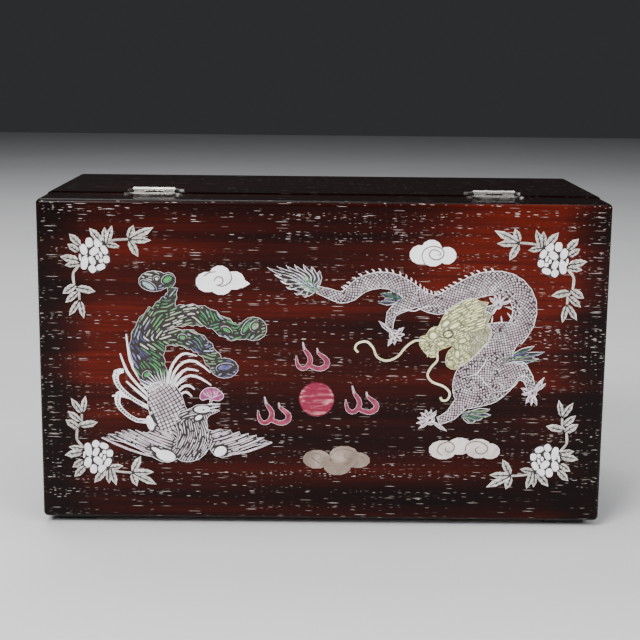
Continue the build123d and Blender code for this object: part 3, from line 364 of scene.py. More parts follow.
def cloud_shell(name):
    """White shell on the upper clouds, cream and brown on the lower ones."""
    shader = Shader(name)
    flow = shader.noise(70, 4, 0.6, 1.1)
    tint = {key: shader.ramp(flow, list(zip((0.3, 0.5, 0.7), tints))) for key, tints in CLOUD_TINTS.items()}
    x, _, height = shader.axes()
    lower = shader.mix(shader.step(x, *BROWN_CLOUD), tint["cream"], tint["brown"])
    colour = shader.mix(shader.step(height, *UPPER_CLOUDS), lower, tint["white"])
    return shader.finish(colour, 0.26, shader.bump(flow, 0.12, 0.1), Specular_IOR_Level=0.5,
                         Coat_Weight=0.4, Coat_Roughness=0.08)


SHELL_TINTS = {                            # dark, middle, light, blush, noise cells a metre
    "white": ((0.29, 0.235, 0.26), (0.60, 0.53, 0.57), (0.96, 0.92, 0.95), (0.60, 0.46, 0.53), 260),
    "pale": ((0.66, 0.62, 0.65), (0.90, 0.87, 0.90), (1.0, 0.99, 1.0), (0.88, 0.79, 0.84), 110),
    "gold": ((0.56, 0.56, 0.22), (0.88, 0.88, 0.42), (1.0, 1.0, 0.66), (0.80, 0.84, 0.46), 260),
    "neck": ((0.32, 0.33, 0.24), (0.56, 0.58, 0.46), (0.82, 0.84, 0.70), (0.52, 0.53, 0.46), 260),
    "cream": ((0.52, 0.47, 0.36), (0.76, 0.71, 0.60), (0.93, 0.90, 0.80), (0.78, 0.75, 0.62), 60),
    "leaf": ((0.30, 0.28, 0.26), (0.54, 0.52, 0.48), (0.86, 0.84, 0.80), (0.46, 0.45, 0.40), 240),
    "line": ((0.10, 0.07, 0.06), (0.20, 0.15, 0.13), (0.30, 0.24, 0.21), (0.16, 0.12, 0.10), 160),
    "pink": ((0.12, 0.008, 0.026), (0.25, 0.022, 0.055), (0.42, 0.07, 0.13), (0.22, 0.034, 0.08), 220, 0.2),
    "rose": ((0.15, 0.006, 0.024), (0.25, 0.013, 0.044), (0.80, 0.36, 0.38), (0.21, 0.010, 0.036), 90, 0.2,
             (1, 1, 5.5)),
    "mauve": ((0.16, 0.016, 0.07), (0.29, 0.05, 0.16), (0.48, 0.20, 0.33), (0.27, 0.05, 0.15), 260, 0.2),
}

make_camera()
make_studio()
WOOD = {axis: dark_wood(f"dark_wood_{axis}", axis, flecks) for axis, flecks in (("x", 0.85), ("y", 0.5))}
# painted shade: the lid top and rear rail get a darker copy of the same wood, with fewer pale flecks, no
# painted glow and a thinner coat
SHADED_TOP_WOOD = dark_wood("dark_wood_top_painted_shade", "x", 0.10, painted_glow=False, coat=0.08)
INNER = {axis: plain_wood(f"inner_wood_{axis}", axis) for axis in "xy"}
BRASS = pale_brass("pale_brass")
FOOT_PAD = grainy("foot_pad", (0.008, 0.008, 0.008), (0.03, 0.03, 0.03), 900, 0.35, 0.8, 0.4, 0.2)
FILLER = grainy("filler", (0.008, 0.005, 0.005), (0.028, 0.018, 0.017))
RUST = grainy("filler_red", (0.014, 0.0070, 0.0065), (0.040, 0.018, 0.017))
OLIVE = grainy("filler_olive", (0.12, 0.115, 0.06), (0.33, 0.32, 0.19))
SHELL = {name: shell(f"shell_{name}", *tints) for name, tints in SHELL_TINTS.items()}
SHELL.update(abalone=abalone("abalone"), filler=FILLER)

FINISH = {
    "back_panel": WOOD["x"], "rear_rail": SHADED_TOP_WOOD, "lid_board": SHADED_TOP_WOOD, "front_rail": WOOD["x"],
    "side_left": WOOD["y"], "side_right": WOOD["y"], "feet": FOOT_PAD,
    "bottom_board": INNER["x"], "drawer_shelf": INNER["x"], "tray_floor": INNER["x"],
    "divider_lower": INNER["y"], "divider_upper": INNER["y"], "tray_slat": INNER["y"],
    "lid_battens": INNER["y"],
    "inlay_clouds": cloud_shell("shell_cloud"), "inlay_pearl": SHELL["rose"],
    "inlay_flames": SHELL["pink"], "inlay_fungus": SHELL["mauve"],
    "inlay_dragon_head": OLIVE, "inlay_dragon_body": RUST, "inlay_dragon_tufts": FILLER,
    "inlay_phoenix_body": FILLER, "inlay_phoenix_tail": FILLER, "inlay_phoenix_plumes": SHELL["pale"],
    "inlay_peony_flowers": FILLER, "inlay_peony_leaves": SHELL["leaf"],
}
DRAWER_FINISH = {"front": WOOD["x"], "sides": INNER["y"], "back": INNER["x"], "bottom": INNER["y"],
                 "pull": BRASS}
for name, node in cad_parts.items():
    if name.startswith("drawer_") and name not in FINISH:
        finish = DRAWER_FINISH[name.rsplit("_", 1)[1]]
    else:
        finish = FINISH.get(name, BRASS)
    for slot in node.material_slots:
        slot.material = finish


# ------------------------ carving tools
FLOW_STEP = 0.6                            # mm between the points of a traced strand
SHORTEST_RIM = 12                          # mm round a plate's outline
LEAF_FULLEST, LEAF_SAW, LEAF_BENDS = 0.6, 0.16, 7
SPIRAL_STEPS = 9


def place(u, v, height):
    """A point of the artwork: mm from the panel's left and lower edges, and above the wood."""
    return (PANEL_LEFT - u * MM, BACK_Y + height * MM, PANEL_FOOT + v * MM)


def curve(stations, steps=4):
    """Smooth run through the stations, which may carry a half width as well."""
    run = []
    last = len(stations) - 1
    for i in range(last):
        near = [stations[min(max(i + k, 0), last)] for k in (-1, 0, 1, 2)]
        for k in range(steps):
            t = k / steps
            run.append(tuple(
                0.5 * (2 * b + (c - a) * t + (2 * a - 5 * b + 4 * c - d) * t * t
                       + (3 * b - a - 3 * c + d) * t ** 3)
                for a, b, c, d in zip(*near)))
    return run + [tuple(stations[-1])]


def left_of(start, end):
    """Unit vector to the left of the way from one point to another."""
    du, dv = end[0] - start[0], end[1] - start[1]
    length = math.hypot(du, dv) or 1
    return -dv / length, du / length


def lengths(path):
    """Distance from the path's start to each of its points."""
    run = [0.0]
    for a, b in zip(path, path[1:]):
        run.append(run[-1] + math.hypot(b[0] - a[0], b[1] - a[1]))
    return run


def at_length(path, runs, distance):
    """Station at a distance along the path, with the unit vector to its left."""
    i = min(max(bisect.bisect_right(runs, distance), 1), len(path) - 1)
    t = (distance - runs[i - 1]) / ((runs[i] - runs[i - 1]) or 1)
    station = tuple(a + (b - a) * t for a, b in zip(path[i - 1], path[i]))
    return station, left_of(path[i - 1], path[i])


def between(start, end, share):
    """The point that lies a share of the way from one point to another."""
    return start[0] + (end[0] - start[0]) * share, start[1] + (end[1] - start[1]) * share


def turned(u, v, a, b, turn):
    """The point a along and b across from a middle, on a figure that is turned about it."""
    return u + a * math.cos(turn) - b * math.sin(turn), v + a * math.sin(turn) + b * math.cos(turn)


def one_of(*tones):
    """A tone drawn for each strand; one that is named twice comes twice as often."""
    return lambda u, v: dice.choice(tones)


def spot_cell(u, v):
    """Cell of 2 mm in which a reserved spot is kept."""
    return round(u / 2), round(v / 2)


class Plate:
    """Front face of an inlay plate in the frame: its outline, and whether a point lies on it."""

    def __init__(self, name):
        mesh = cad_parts[name].data
        front = [poly for poly in mesh.polygons
                 if poly.normal.y > 0.9 and poly.center.y > BACK_Y + 0.1 * MM]
        corners, number, self.polygons = [], {}, []
        for poly in front:
            ring = []
            for index in poly.vertices:
                point = mesh.vertices[index].co
                key = (round(point.x * 1e6), round(point.z * 1e6))
                if key not in number:
                    number[key] = len(corners)
                    corners.append(((PANEL_LEFT - point.x) / MM, (point.z - PANEL_FOOT) / MM))
                ring.append(number[key])
            self.polygons.append(ring)
        self.corners = corners
        self.tree = BVHTree.FromPolygons([(u, v, 0) for u, v in corners], self.polygons)

    def holds(self, u, v, margin=0.0):
        """True where the plate lies under the point and under four points around it."""
        around = ((0, 0), (margin, 0), (-margin, 0), (0, margin), (0, -margin))[:5 if margin else 1]
        return all(self.tree.ray_cast((u + du, v + dv, 1), (0, 0, -1))[0] is not None for du, dv in around)

    def loops(self):
        """Closed outlines of the front face."""
        edges = {(a, b) for ring in self.polygons for a, b in zip(ring, ring[1:] + ring[:1])}
        follow = {a: b for a, b in sorted(edges) if (b, a) not in edges}
        found = []
        while follow:
            start, point = follow.popitem()
            loop = [self.corners[start]]
            while point in follow:
                loop.append(self.corners[point])
                point = follow.pop(point)
            found.append(loop)
        return found


class Carving:
    """Small raised tiles and strands of shell, gathered into one piece of the case."""
    begun = []                             # all carvings, in the order in which they are made

    def __init__(self, name, stuff, slot):
        self.name, self.material, self.slot = name, SHELL[stuff], slot
        self.begun.append(self)
        self.points, self.faces, self.tones = [], [], []
        self.taken = {}

    def free(self, u, v, space):
        """True where no spot is reserved within the space, which is 2 mm at most."""
        column, row = spot_cell(u, v)
        near = [self.taken.get((column + i, row + j), ()) for i in (-1, 0, 1) for j in (-1, 0, 1)]
        return all(math.hypot(x - u, y - v) >= space for spots in near for x, y in spots)

    def reserve(self, points):
        """Keep spots that later tiles and strands stay away from."""
        for u, v in points:
            self.taken.setdefault(spot_cell(u, v), []).append((u, v))

    def reserve_oval(self, u, v, ru, rv, turn, shares, corners):
        """Keep the spots of an oval tile, on rings at these shares of its size."""
        for share in shares:
            self.reserve(oval_outline(u, v, ru * share, rv * share, turn, corners))

    def rings(self, rings, tone):
        """Closed solid through rings of equal count, from the base ring to the top one."""
        tone = dice.random() if tone is None else tone
        first, count = len(self.points), len(rings[0])
        for ring in rings:
            self.points.extend(ring)
        self.tones.extend([tone] * (count * len(rings)))
        for level in range(len(rings) - 1):
            low = first + level * count
            for i in range(count):
                j = (i + 1) % count
                self.faces.append((low + i, low + j, low + count + j, low + count + i))
        top = first + (len(rings) - 1) * count
        self.faces.append(tuple(range(top, top + count)))
        self.faces.append(tuple(range(first + count - 1, first - 1, -1)))

    def tile(self, outline, top=TILE_TOP, tone=None, bevel=0.14, crown=0.0):
        """Raised tile; a crown draws a second, higher ring in towards the middle."""
        area = sum(a[0] * b[1] - b[0] * a[1] for a, b in zip(outline, outline[1:] + outline[:1]))
        points = outline if area > 0 else outline[::-1]
        mid_u = sum(p[0] for p in points) / len(points)
        mid_v = sum(p[1] for p in points) / len(points)
        levels = [(0, SUNK), (bevel, top - crown)] + ([(0.55, top)] if crown else [])
        self.rings([[place(u + (mid_u - u) * inset, v + (mid_v - v) * inset, height) for u, v in points]
                    for inset, height in levels], tone)

    def strand(self, path, width, top=TILE_TOP, tone=None, ends=(0.35, 0.2)):
        """Ridged band along a path, fullest in its middle and drawn out at its ends."""
        last = len(path) - 1
        rings = []
        for i, station in enumerate(path):
            t = i / last
            least, filled = (ends[0], min(t / 0.3, 1)) if t < 0.5 else (ends[1], min((1 - t) / 0.3, 1))
            half = width / 2 * (least + (1 - least) * filled)
            nu, nv = left_of(path[max(i - 1, 0)], path[min(i + 1, last)])
            rings.append([place(station[0] + nu * half * reach, station[1] + nv * half * reach, height)
                          for reach, height in ((1, SUNK), (0.55, top), (-0.55, top), (-1, SUNK))])
        self.rings(rings, tone)

    def rim(self, plate, width=0.6, top=TILE_TOP, tone=0.0):
        """Pale strand just inside each outline of a plate that is long enough to carry one."""
        for loop in plate.loops():
            if lengths(loop)[-1] < SHORTEST_RIM:
                continue
            inner = []
            for i in range(len(loop) + 1):
                (u, v), before, after = (loop[(i + k) % len(loop)] for k in (0, -1, 1))
                nu, nv = left_of(before, after)
                inner.append((u + nu * width / 2, v + nv * width / 2))
            self.strand(inner, width, top, tone, ends=(1, 1))

    def net(self, plate, stations, pitch, tile, tone=None):
        """Staggered net of small lozenges that follows a spine, wherever the plate lies."""
        spine = curve(stations)
        runs = lengths(spine)
        rows = int(runs[-1] / pitch * 2)
        for row in range(rows + 1):
            (u, v, half), (nu, nv) = at_length(spine, runs, row * pitch / 2)
            reach = int(half / pitch) + 1
            for column in range(-reach, reach + 1):
                across = (column + 0.5 * (row % 2)) * pitch
                mid_u, mid_v = u + nu * across, v + nv * across
                if plate.holds(mid_u, mid_v, pitch * 0.3) and self.free(mid_u, mid_v, pitch * 0.55):
                    self.reserve([(mid_u, mid_v)])
                    a, b = nu * pitch * tile, nv * pitch * tile
                    self.tile([(mid_u + b, mid_v - a), (mid_u + a, mid_v + b),
                               (mid_u - b, mid_v + a), (mid_u - a, mid_v - b)], tone=tone)

    def flow(self, plate, box, heading, space, width, reach, tries, tone=lambda u, v: None):
        """Strands that run with the drawing's flow and fill what is left of a box on the plate."""
        for _ in range(tries):
            start = (dice.uniform(box[0], box[2]), dice.uniform(box[1], box[3]))
            if not self.free(*start, space) or not plate.holds(*start, width * 0.5):
                continue
            path = [start]
            for side in (1, -1):
                (u, v), limit = start, dice.uniform(0.4, 1.0) * reach / 2
                du, dv = side * math.cos(heading(u, v)), side * math.sin(heading(u, v))
                travelled = 0.0
                while travelled < limit:
                    turn = heading(u, v)
                    sign = 1 if math.cos(turn) * du + math.sin(turn) * dv > 0 else -1
                    du, dv = sign * math.cos(turn), sign * math.sin(turn)
                    u, v = u + du * FLOW_STEP, v + dv * FLOW_STEP
                    if not self.free(u, v, space * 0.85) or not plate.holds(u, v, width * 0.4):
                        break
                    travelled += FLOW_STEP
                    path.append((u, v))
                path.reverse()
            if len(path) > 2:
                self.reserve(path)
                own = tone(*start)
                self.strand(path[::2] if len(path) > 6 else path, width * dice.uniform(0.85, 1.15),
                            tone=own, ends=(0.6, 0.6))

    def finish(self):
        mesh = bpy.data.meshes.new(self.name)
        mesh.from_pydata(self.points, [], self.faces)
        own = mesh.attributes.new("tone", "FLOAT", "POINT")
        own.data.foreach_set("value", self.tones)
        mesh.materials.append(self.material)
        piece = put_in_scene(bpy.data.objects.new(self.name, mesh))
        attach(piece, "case")


def heading_along(lines, curl=0.0):
    """Direction of the drawing at a point, drawn from the lines near it, and swayed by a curl."""
    pulls = []
    for line in lines:
        for (u0, v0), (u1, v1) in zip(line, line[1:]):
            turn = 2 * math.atan2(v1 - v0, u1 - u0)
            pulls.append(((u0 + u1) / 2, (v0 + v1) / 2, math.cos(turn), math.sin(turn)))

    def heading(u, v):
        across = along = 0.0
        for pull_u, pull_v, cosine, sine in pulls:
            weight = ((u - pull_u) ** 2 + (v - pull_v) ** 2 + 1) ** -1.5
            across += weight * cosine
            along += weight * sine
        return math.atan2(along, across) / 2 + curl * math.sin(1.3 * u + 0.9 * v)

    return heading


def leaf_outline(tip, base, width):
    """Pointed leaf with a sawn edge between two points."""
    nu, nv = left_of(tip, base)
    left, right = [], []
    for i in range(1, LEAF_BENDS + 1):
        t = i / (LEAF_BENDS + 1)
        half = width / 2 * math.sin(math.pi * t ** (math.log(0.5) / math.log(LEAF_FULLEST)))
        half *= 1 - LEAF_SAW * (i % 2)
        u, v = between(tip, base, t)
        left.append((u + nu * half, v + nv * half))
        right.append((u - nu * half, v - nv * half))
    return [tip] + left + [base] + right[::-1]


def oval_outline(u, v, ru, rv, turn=0.0, corners=12):
    angles = [2 * math.pi * i / corners for i in range(corners)]
    return [turned(u, v, ru * math.cos(angle), rv * math.sin(angle), turn) for angle in angles]


def spiral(u, v, radius, start, turns):
    """Scroll that winds from its outer end in towards its middle."""
    points = []
    for i in range(SPIRAL_STEPS + 1):
        t = i / SPIRAL_STEPS
        angle = start + 2 * math.pi * turns * t
        away = radius * (1 - 0.75 * t)
        points.append((u + away * math.cos(angle), v + away * math.sin(angle)))
    return points


def wave(start, end, sway, bends, steps=7):
    """Path between two points that sways to its left and right."""
    nu, nv = left_of(start, end)
    points = []
    for i in range(steps + 1):
        t = i / steps
        u, v = between(start, end, t)
        off = sway * math.sin(math.pi * bends * t)
        points.append((u + nu * off, v + nv * off))
    return points


# ------------------------ dragon
DRAGON_SPINE = [
    (166, 142.5, 2.3), (173, 140.3, 3.2), (180, 138, 3.7), (186, 140, 4.6), (192.5, 145.5, 5),
    (203, 148.5, 5.2), (213, 147, 5.2), (221, 142, 5.5), (229, 136.5, 5.5), (238, 134, 6.2),
    (247, 137.5, 6.8), (256, 143, 7), (265, 146.6, 7.4), (275, 147.4, 7.4), (284, 143.8, 7.5),
    (289.6, 135, 7.6), (289, 124, 7.4), (283, 112, 9), (275, 100, 15), (267, 88, 20), (262, 76, 17),
]
DRAGON_LIMBS = [
    [(226, 137, 4.2), (218, 133.5, 4), (210.5, 129, 3.2), (209, 120, 5)],
    [(256, 128, 3.2), (263, 129.5, 3), (275, 134, 4)],
    [(262, 88, 6), (272, 97, 4.6), (282, 95, 4), (291, 91, 4), (297, 80, 5)],
    [(266, 86, 6), (262, 80, 5), (254, 75, 4.2), (248, 69, 3.4), (238, 62, 5)],
]
DRAGON_FEET = {                            # palm: tips of its toes
    (212.4, 115.6): [(203, 123.8), (208.8, 108.6), (212.8, 109.2), (217, 111.6), (218.8, 115.6),
                     (218.4, 120)],
    (274, 134): [(268.5, 138.5), (271.5, 140.4), (275, 141), (278.6, 139.8), (282.4, 137), (269, 127)],
    (296.4, 80.6): [(303.4, 90.3), (304.4, 86.4), (289.3, 83.4), (290, 79.6), (292.6, 73.8), (296, 72.6),
                    (299.4, 73)],
    (235.4, 62.8): [(229.2, 67.7), (232, 69.6), (235.6, 69.8), (239, 69.2), (227.4, 64.4), (226.8, 61),
                    (228.4, 57.8), (245.4, 56.3)],
}
DRAGON_CONTOURS = [
    [(213, 128), (218, 131), (224, 130), (232, 133), (240, 133)],
    [(278, 98), (285, 99.6), (291, 99), (297, 90)],
    [(275, 81), (283, 83), (288, 90), (292, 91), (295, 88)],
    [(262, 92), (266, 89), (268, 86), (275, 81)],
    [(270, 104), (266, 97), (262, 92), (255, 90)],
]
CHEST_FILL = [(240, 110, 40), (300, 112, 40)]
LOOP_SPIKES = [
    ((267.4, 126.6), (266, 123.6)), ((271, 127.4), (270.6, 123.6)), ((276, 127.6), (276.6, 123.6)),
    ((279.4, 129.6), (282, 126.4)), ((278.4, 133), (282.4, 131.6)),
]
SCALE_PITCH = 2.15
SMALL_SCALES = ((0.6, 0.62), (0.48, 0.46))    # space in pitches, half size: those between the rows
SMALL_SCALE_BOX = (165, 54, 306, 156)
SMALL_SCALE_TRIES = 14000
SPIKE_PITCH = 3.2
FIRST_SPIKE = 6
SPIKE_BEND = ((0, 0), (1.0, 0.5), (1.9, 1.5))    # up from the back and along it


def carve_dragon_body():
    plate = Plate("inlay_dragon_body")
    scales = Carving("dragon_scales", "white", "shell_white")
    edges = Carving("dragon_edges", "pale", "shell_white")
    edges.rim(plate)
    for contour in DRAGON_CONTOURS:
        edges.strand(curve(contour), 0.7, LINE_TOP, 0.0)
    for stations in DRAGON_LIMBS + [DRAGON_SPINE, CHEST_FILL]:
        scales.net(plate, stations, SCALE_PITCH, 0.39)
    left, low, right, high = SMALL_SCALE_BOX
    for space, size in SMALL_SCALES:
        for _ in range(SMALL_SCALE_TRIES):
            u, v = dice.uniform(left, right), dice.uniform(low, high)
            if scales.free(u, v, SCALE_PITCH * space) and plate.holds(u, v, 0.4):
                scales.reserve([(u, v)])
                scales.tile(oval_outline(u, v, size, size, 0.8, 4))
    spine = curve(DRAGON_SPINE[:14])
    runs = lengths(spine)
    for i in range(FIRST_SPIKE, int(runs[-1] / SPIKE_PITCH)):
        (u, v, half), (nu, nv) = at_length(spine, runs, i * SPIKE_PITCH)
        foot_u, foot_v = u + nu * half, v + nv * half
        if not plate.holds(foot_u + nu, foot_v + nv):
            edges.strand([(foot_u + nu * up - nv * along, foot_v + nv * up + nu * along)
                          for up, along in SPIKE_BEND], 1.1, tone=0.1, ends=(1, 0.3))
    for (u, v), toes in DRAGON_FEET.items():
        scales.tile(oval_outline(u, v, 2.3, 2.1), tone=0.1, crown=0.1)
        for tip in toes:
            knuckle = (u * 0.45 + tip[0] * 0.55 + 0.3, v * 0.45 + tip[1] * 0.55 + 0.5)
            scales.strand(curve([(u, v), knuckle, tip], 3), 1.5, BOSS_TOP, 0.1, ends=(0.9, 0.3))
    for tip, root in LOOP_SPIKES:
        edges.strand([root, ((root[0] + tip[0]) / 2, (root[1] + tip[1]) / 2 + 0.3), tip], 0.9, ends=(1, 0.3))


FACE_TILES = [                             # middle, half sizes and turn
    (235.8, 115.2, 2.2, 2.1, 0), (244.7, 116.2, 2.5, 1.9, 0.3), (248.6, 121.4, 3.6, 1.3, 0.5),
    (243.2, 122.6, 2.6, 1.4, 0.7), (246.6, 98.2, 1.9, 1.9, 0), (253.4, 112, 2.2, 1.5, 0.4),
    (240.6, 110.4, 2.4, 1.1, 0.3), (250.6, 104, 1.3, 2.4, 0.1),
]
MANE = [
    [(240, 121), (248, 127), (258, 132.4), (267, 136)], [(243, 119), (252, 124.6), (262, 129), (269, 131)],
    [(250, 118), (258, 121), (267, 124)],
]
FACE_FLOW = [
    [(229, 109), (236, 111), (243, 110), (250, 112)], [(232, 104), (237, 105.6), (242, 108)],
    [(245, 95), (248, 102), (252, 108), (256, 114)], [(238, 119), (243, 113), (249, 116), (254, 122)],
    [(246.6, 94), (253, 99), (256, 105)],
]
NECK_FLOW = [
    [(254, 100), (260, 106), (262, 114), (258, 122)], [(258, 102), (266, 112), (264, 120), (268, 126)],
    [(252, 104), (256, 112), (252, 118)], [(256, 128), (262, 134), (268, 136)],
]
FACE_CURLS = [
    (252.6, 121.4, 1.6, 120, -1.2), (253.4, 112, 1.5, 200, 1.2), (240.4, 113.8, 1.4, 60, 1.2),
    (246.6, 98.2, 1.5, 40, -1.2), (248.4, 106.6, 1.5, 90, 1.2), (234, 109.6, 1.3, 100, -1.2),
]
WHISKERS = [
    [(231, 112), (225, 112), (219.5, 108), (214.5, 102), (208, 99.6), (202.5, 102), (200, 107.5),
     (196, 111.2), (191, 110.2), (189.2, 107), (191.2, 104.6)],
    [(238.4, 104), (238.6, 100), (235.2, 96), (233, 91), (236, 86.8), (243, 84), (246.6, 80), (245.4, 76),
     (242.4, 75.4), (241, 77.4)],
]
MANE_BOX, FACE_BOX, NECK_BOX = (236, 119, 264, 138), (227, 93, 257, 124), (250, 98, 272, 138)
TOOTH = ((232, 104.8), (233.4, 104.8), (232.6, 101.6))
EYE_RING, EYE_RING_END = (244.7, 116.2, 3.0, 2.3, 0.3), (247.6, 117.1)
EYE_STROKES = ((243.4, 115.8), (244.8, 116.6), (246.2, 117))


def carve_dragon_head():
    plate = Plate("inlay_dragon_head")
    neck = Carving("dragon_neck", "neck", "shell_gold")
    gold = Carving("dragon_face", "gold", "shell_gold")
    dark = Carving("dragon_face_lines", "filler", "shell_gold")
    cream = Carving("dragon_whiskers", "cream", "shell_cream")
    gold.rim(plate, 0.35, tone=0.3)
    for face_tile in FACE_TILES:
        gold.tile(oval_outline(*face_tile), BOSS_TOP, 0.0, crown=0.14)
        gold.reserve_oval(*face_tile, (0.3, 0.7, 1.0), 10)
    gold.flow(plate, MANE_BOX, heading_along(MANE, 0.25), 1.2, 1.1, 9, 5000, one_of(0, 0, 0.3))
    gold.flow(plate, FACE_BOX, heading_along(FACE_FLOW, 0.7), 1.0, 0.92, 4, 6000, one_of(0, 0, 0.1, 0.5))
    neck.reserve([point for spots in gold.taken.values() for point in spots])
    neck.flow(plate, NECK_BOX, heading_along(NECK_FLOW, 0.8), 1.0, 0.9, 4, 6000)
    for k in range(3):
        gold.tile([(u + 1.9 * k, v + 0.5 * k) for u, v in TOOTH], tone=0.0)
    dark.strand(oval_outline(*EYE_RING) + [EYE_RING_END], 0.5, INK_TOP, 0.5, ends=(1, 1))
    for u, v in EYE_STROKES:
        dark.tile(oval_outline(u, v, 0.36, 1.0, -0.5, 6), TILE_TOP + 0.08, 0.5)
    for u, v, radius, start, turns in FACE_CURLS:
        dark.strand(spiral(u, v, radius, math.radians(start), turns), 0.45, INK_TOP, 0.5, ends=(0.6, 0.8))
    for whisker in WHISKERS:
        cream.strand(curve(whisker, 5), 1.5, BOSS_TOP, 0.0, ends=(0.8, 0.6))


TUFT_ROOT = (166.6, 143)
TAIL_WISPS = [
    (137, 155.2), (142.6, 156), (148, 156.6), (153, 157), (158.4, 157.2), (163.4, 156), (168, 153.4),
    (141, 151), (144.6, 147.2), (148, 143.4), (153, 139.8), (158, 138.2),
]
WISP_TINTS = (0.05, 0.4, 0.53, 0.9)
LEG_WISP_TINTS = (0.02, 0.05, 0.1, 0.4, 0.46, 0.8)
TUFT_TILES = [(160.6, 147.6, 1.9, 1.1, 0.5, 0.53), (160.6, 142.4, 1.8, 0.8, 0.5, 0.95)]
LEG_WISPS = {(218, 137): [(202.6, 134.6), (203.6, 140.4), (209, 143.6), (206, 137)],
             (277, 99): [(296.6, 109.6), (293.4, 104.6), (303, 106), (299.6, 101.4)],
             (254, 66): [(271.4, 70.4), (266.6, 64), (272, 66.6), (262, 61.8)]}


def carve_dragon_tufts():
    tufts = Carving("dragon_tufts", "abalone", "abalone")
    edges = Carving("dragon_tuft_edges", "pale", "shell_white")
    plate = Plate("inlay_dragon_tufts")
    edges.rim(plate, 0.45)
    for tip in TAIL_WISPS:
        for k in (-1, 1):
            end = (tip[0] + 0.4 * k, tip[1] - 0.4 * k)
            edge = wave((TUFT_ROOT[0] - 2, TUFT_ROOT[1] + 0.7 * k), end, 0.8, 3.0, 12)
            edges.strand(edge, 0.42, tone=0.3, ends=(0.6, 1))
        end = (tip[0] * 0.6 + TUFT_ROOT[0] * 0.4, tip[1] * 0.6 + TUFT_ROOT[1] * 0.4)
        tufts.strand(wave(TUFT_ROOT, end, 0.7, 2.0, 9), 0.7, TILE_TOP + 0.02, dice.choice(WISP_TINTS))
    for u, v, ru, rv, turn, tone in TUFT_TILES:
        tufts.tile(oval_outline(u, v, ru, rv, turn), BOSS_TOP, tone, crown=0.1)
    for root, tips in LEG_WISPS.items():
        for tip in tips:
            for k in (-1, 0, 1):
                wisp = wave((root[0], root[1] + k * 1.3), (tip[0], tip[1] + k * 0.4), 0.8, 2.0)
                tufts.strand(wisp, 0.62, tone=dice.choice(LEG_WISP_TINTS))


# ------------------------ phoenix
WING_TIPS = {
    "left": [(36.6, 50.2), (41.4, 52.6), (46, 54), (49.4, 55), (53, 55.6), (57, 55.4), (61, 54.4),
             (65, 54.4), (68.4, 56.4)],
    "right": [(140, 48.2), (135, 51.4), (130.4, 52.8), (125.6, 53.8), (120.2, 54.8), (114.8, 55.8),
              (109.2, 56.2)],
}
WING_ROOTS = {"left": [(77, 36.4), (80, 51)], "right": [(108, 39.4), (102.6, 54)]}
SMOOTH_SPOTS = [
    (75.4, 39.4, 6.6, 3.8, -0.25), (66.2, 59.6, 2.4, 5.0, 0.25), (108.4, 42.4, 4.4, 3.3, 0.5),
    (97.6, 68.6, 5.4, 2.5, 0.05), (95.4, 63.4, 2.6, 1.5, 0.5), (70.4, 42.4, 4.6, 1.5, -0.5),
]
BREAST_LINES = [
    [(98, 61), (100.4, 55), (99.6, 46), (94, 38)], [(95, 61), (97.4, 54), (95.6, 46), (90, 37.2)],
    [(92, 61), (94, 53), (91.4, 45), (86, 37.4)], [(89, 60), (90.4, 52.6), (87.4, 45.6), (83.2, 39.6)],
    [(86, 58.4), (87, 52), (84.6, 47), (81.8, 42.4)], [(100, 62), (102.2, 55), (102, 48), (99, 41.4)],
    [(84, 64), (88, 66), (93, 67)], [(68, 54), (72, 50), (78, 46)],
]
NET_SPINE = [(70, 58, 7), (72.6, 64, 8.5), (75.4, 72, 8.5), (77.4, 80, 6.4), (78, 84, 5)]
NET_PITCH = 3.1
FEATHER_BOXES = ((34, 34, 142, 57), (84, 57, 106, 73))
FAN_COUNT, FAN_START, FAN_SPREAD = 17, 158, 116    # rays, and degrees
FAN_FOOT = (75.6, 78)
EYE = (98.4, 68.4, 0.9, 0.6)
BEAK = [[(101, 69.4), (104.6, 69.7), (108.4, 70.5)], [(101, 67.4), (104.6, 67.8), (107.8, 68.4)]]


def carve_phoenix_body():
    plate = Plate("inlay_phoenix_body")
    smooth = Carving("phoenix_edges", "pale", "shell_white")
    dark = Carving("phoenix_lines", "filler", "shell_white")
    feathers = Carving("phoenix_feathers", "white", "shell_white")
    smooth.rim(plate, 0.4, tone=0.2)
    for spot in SMOOTH_SPOTS:
        smooth.tile(oval_outline(*spot, 16), BOSS_TOP, 0.0, crown=0.14)
        feathers.reserve_oval(*spot, (0.25, 0.6, 0.95), 16)
    flows = list(BREAST_LINES)
    for side, tips in WING_TIPS.items():
        start, end = WING_ROOTS[side]
        for i, tip in enumerate(tips):
            t = i / (len(tips) - 1)
            root = between(start, end, t)
            middle = ((root[0] + tip[0]) / 2, (root[1] + tip[1]) / 2 - 1.6 * (1 - t))
            path = [point for point in curve([root, middle, tip], 8) if feathers.free(*point, 1.15)]
            if len(path) > 3:
                feathers.reserve(path)
                feathers.strand(path, 1.5, tone=0.1, ends=(0.6, 0.4))
            flows.append([root, middle, tip])
    feathers.net(plate, NET_SPINE, NET_PITCH, 0.41, 0.1)
    heading = heading_along(flows)
    for box in FEATHER_BOXES:
        feathers.flow(plate, box, heading, 1.05, 0.95, 13, 5000, one_of(0, 0.1, 0.3))
    foot_u, foot_v = FAN_FOOT
    for k in range(FAN_COUNT):
        angle = math.radians(FAN_START - FAN_SPREAD * k / (FAN_COUNT - 1))
        ray_u, ray_v = math.cos(angle) * 1.1, math.sin(angle)
        reach = 14.5 + 1.6 * (k % 3)
        ray = [(foot_u + ray_u * share * reach, foot_v + ray_v * share * reach - 1.5 * share * share)
               for share in (0.36, 0.6, 0.8, 1.0)]
        smooth.strand(ray, 0.8, LINE_TOP, 0.2)
    for beak in BEAK:
        smooth.strand(beak, 1.0, LINE_TOP, 0.1)
    dark.tile(oval_outline(*EYE), TILE_TOP + 0.1)


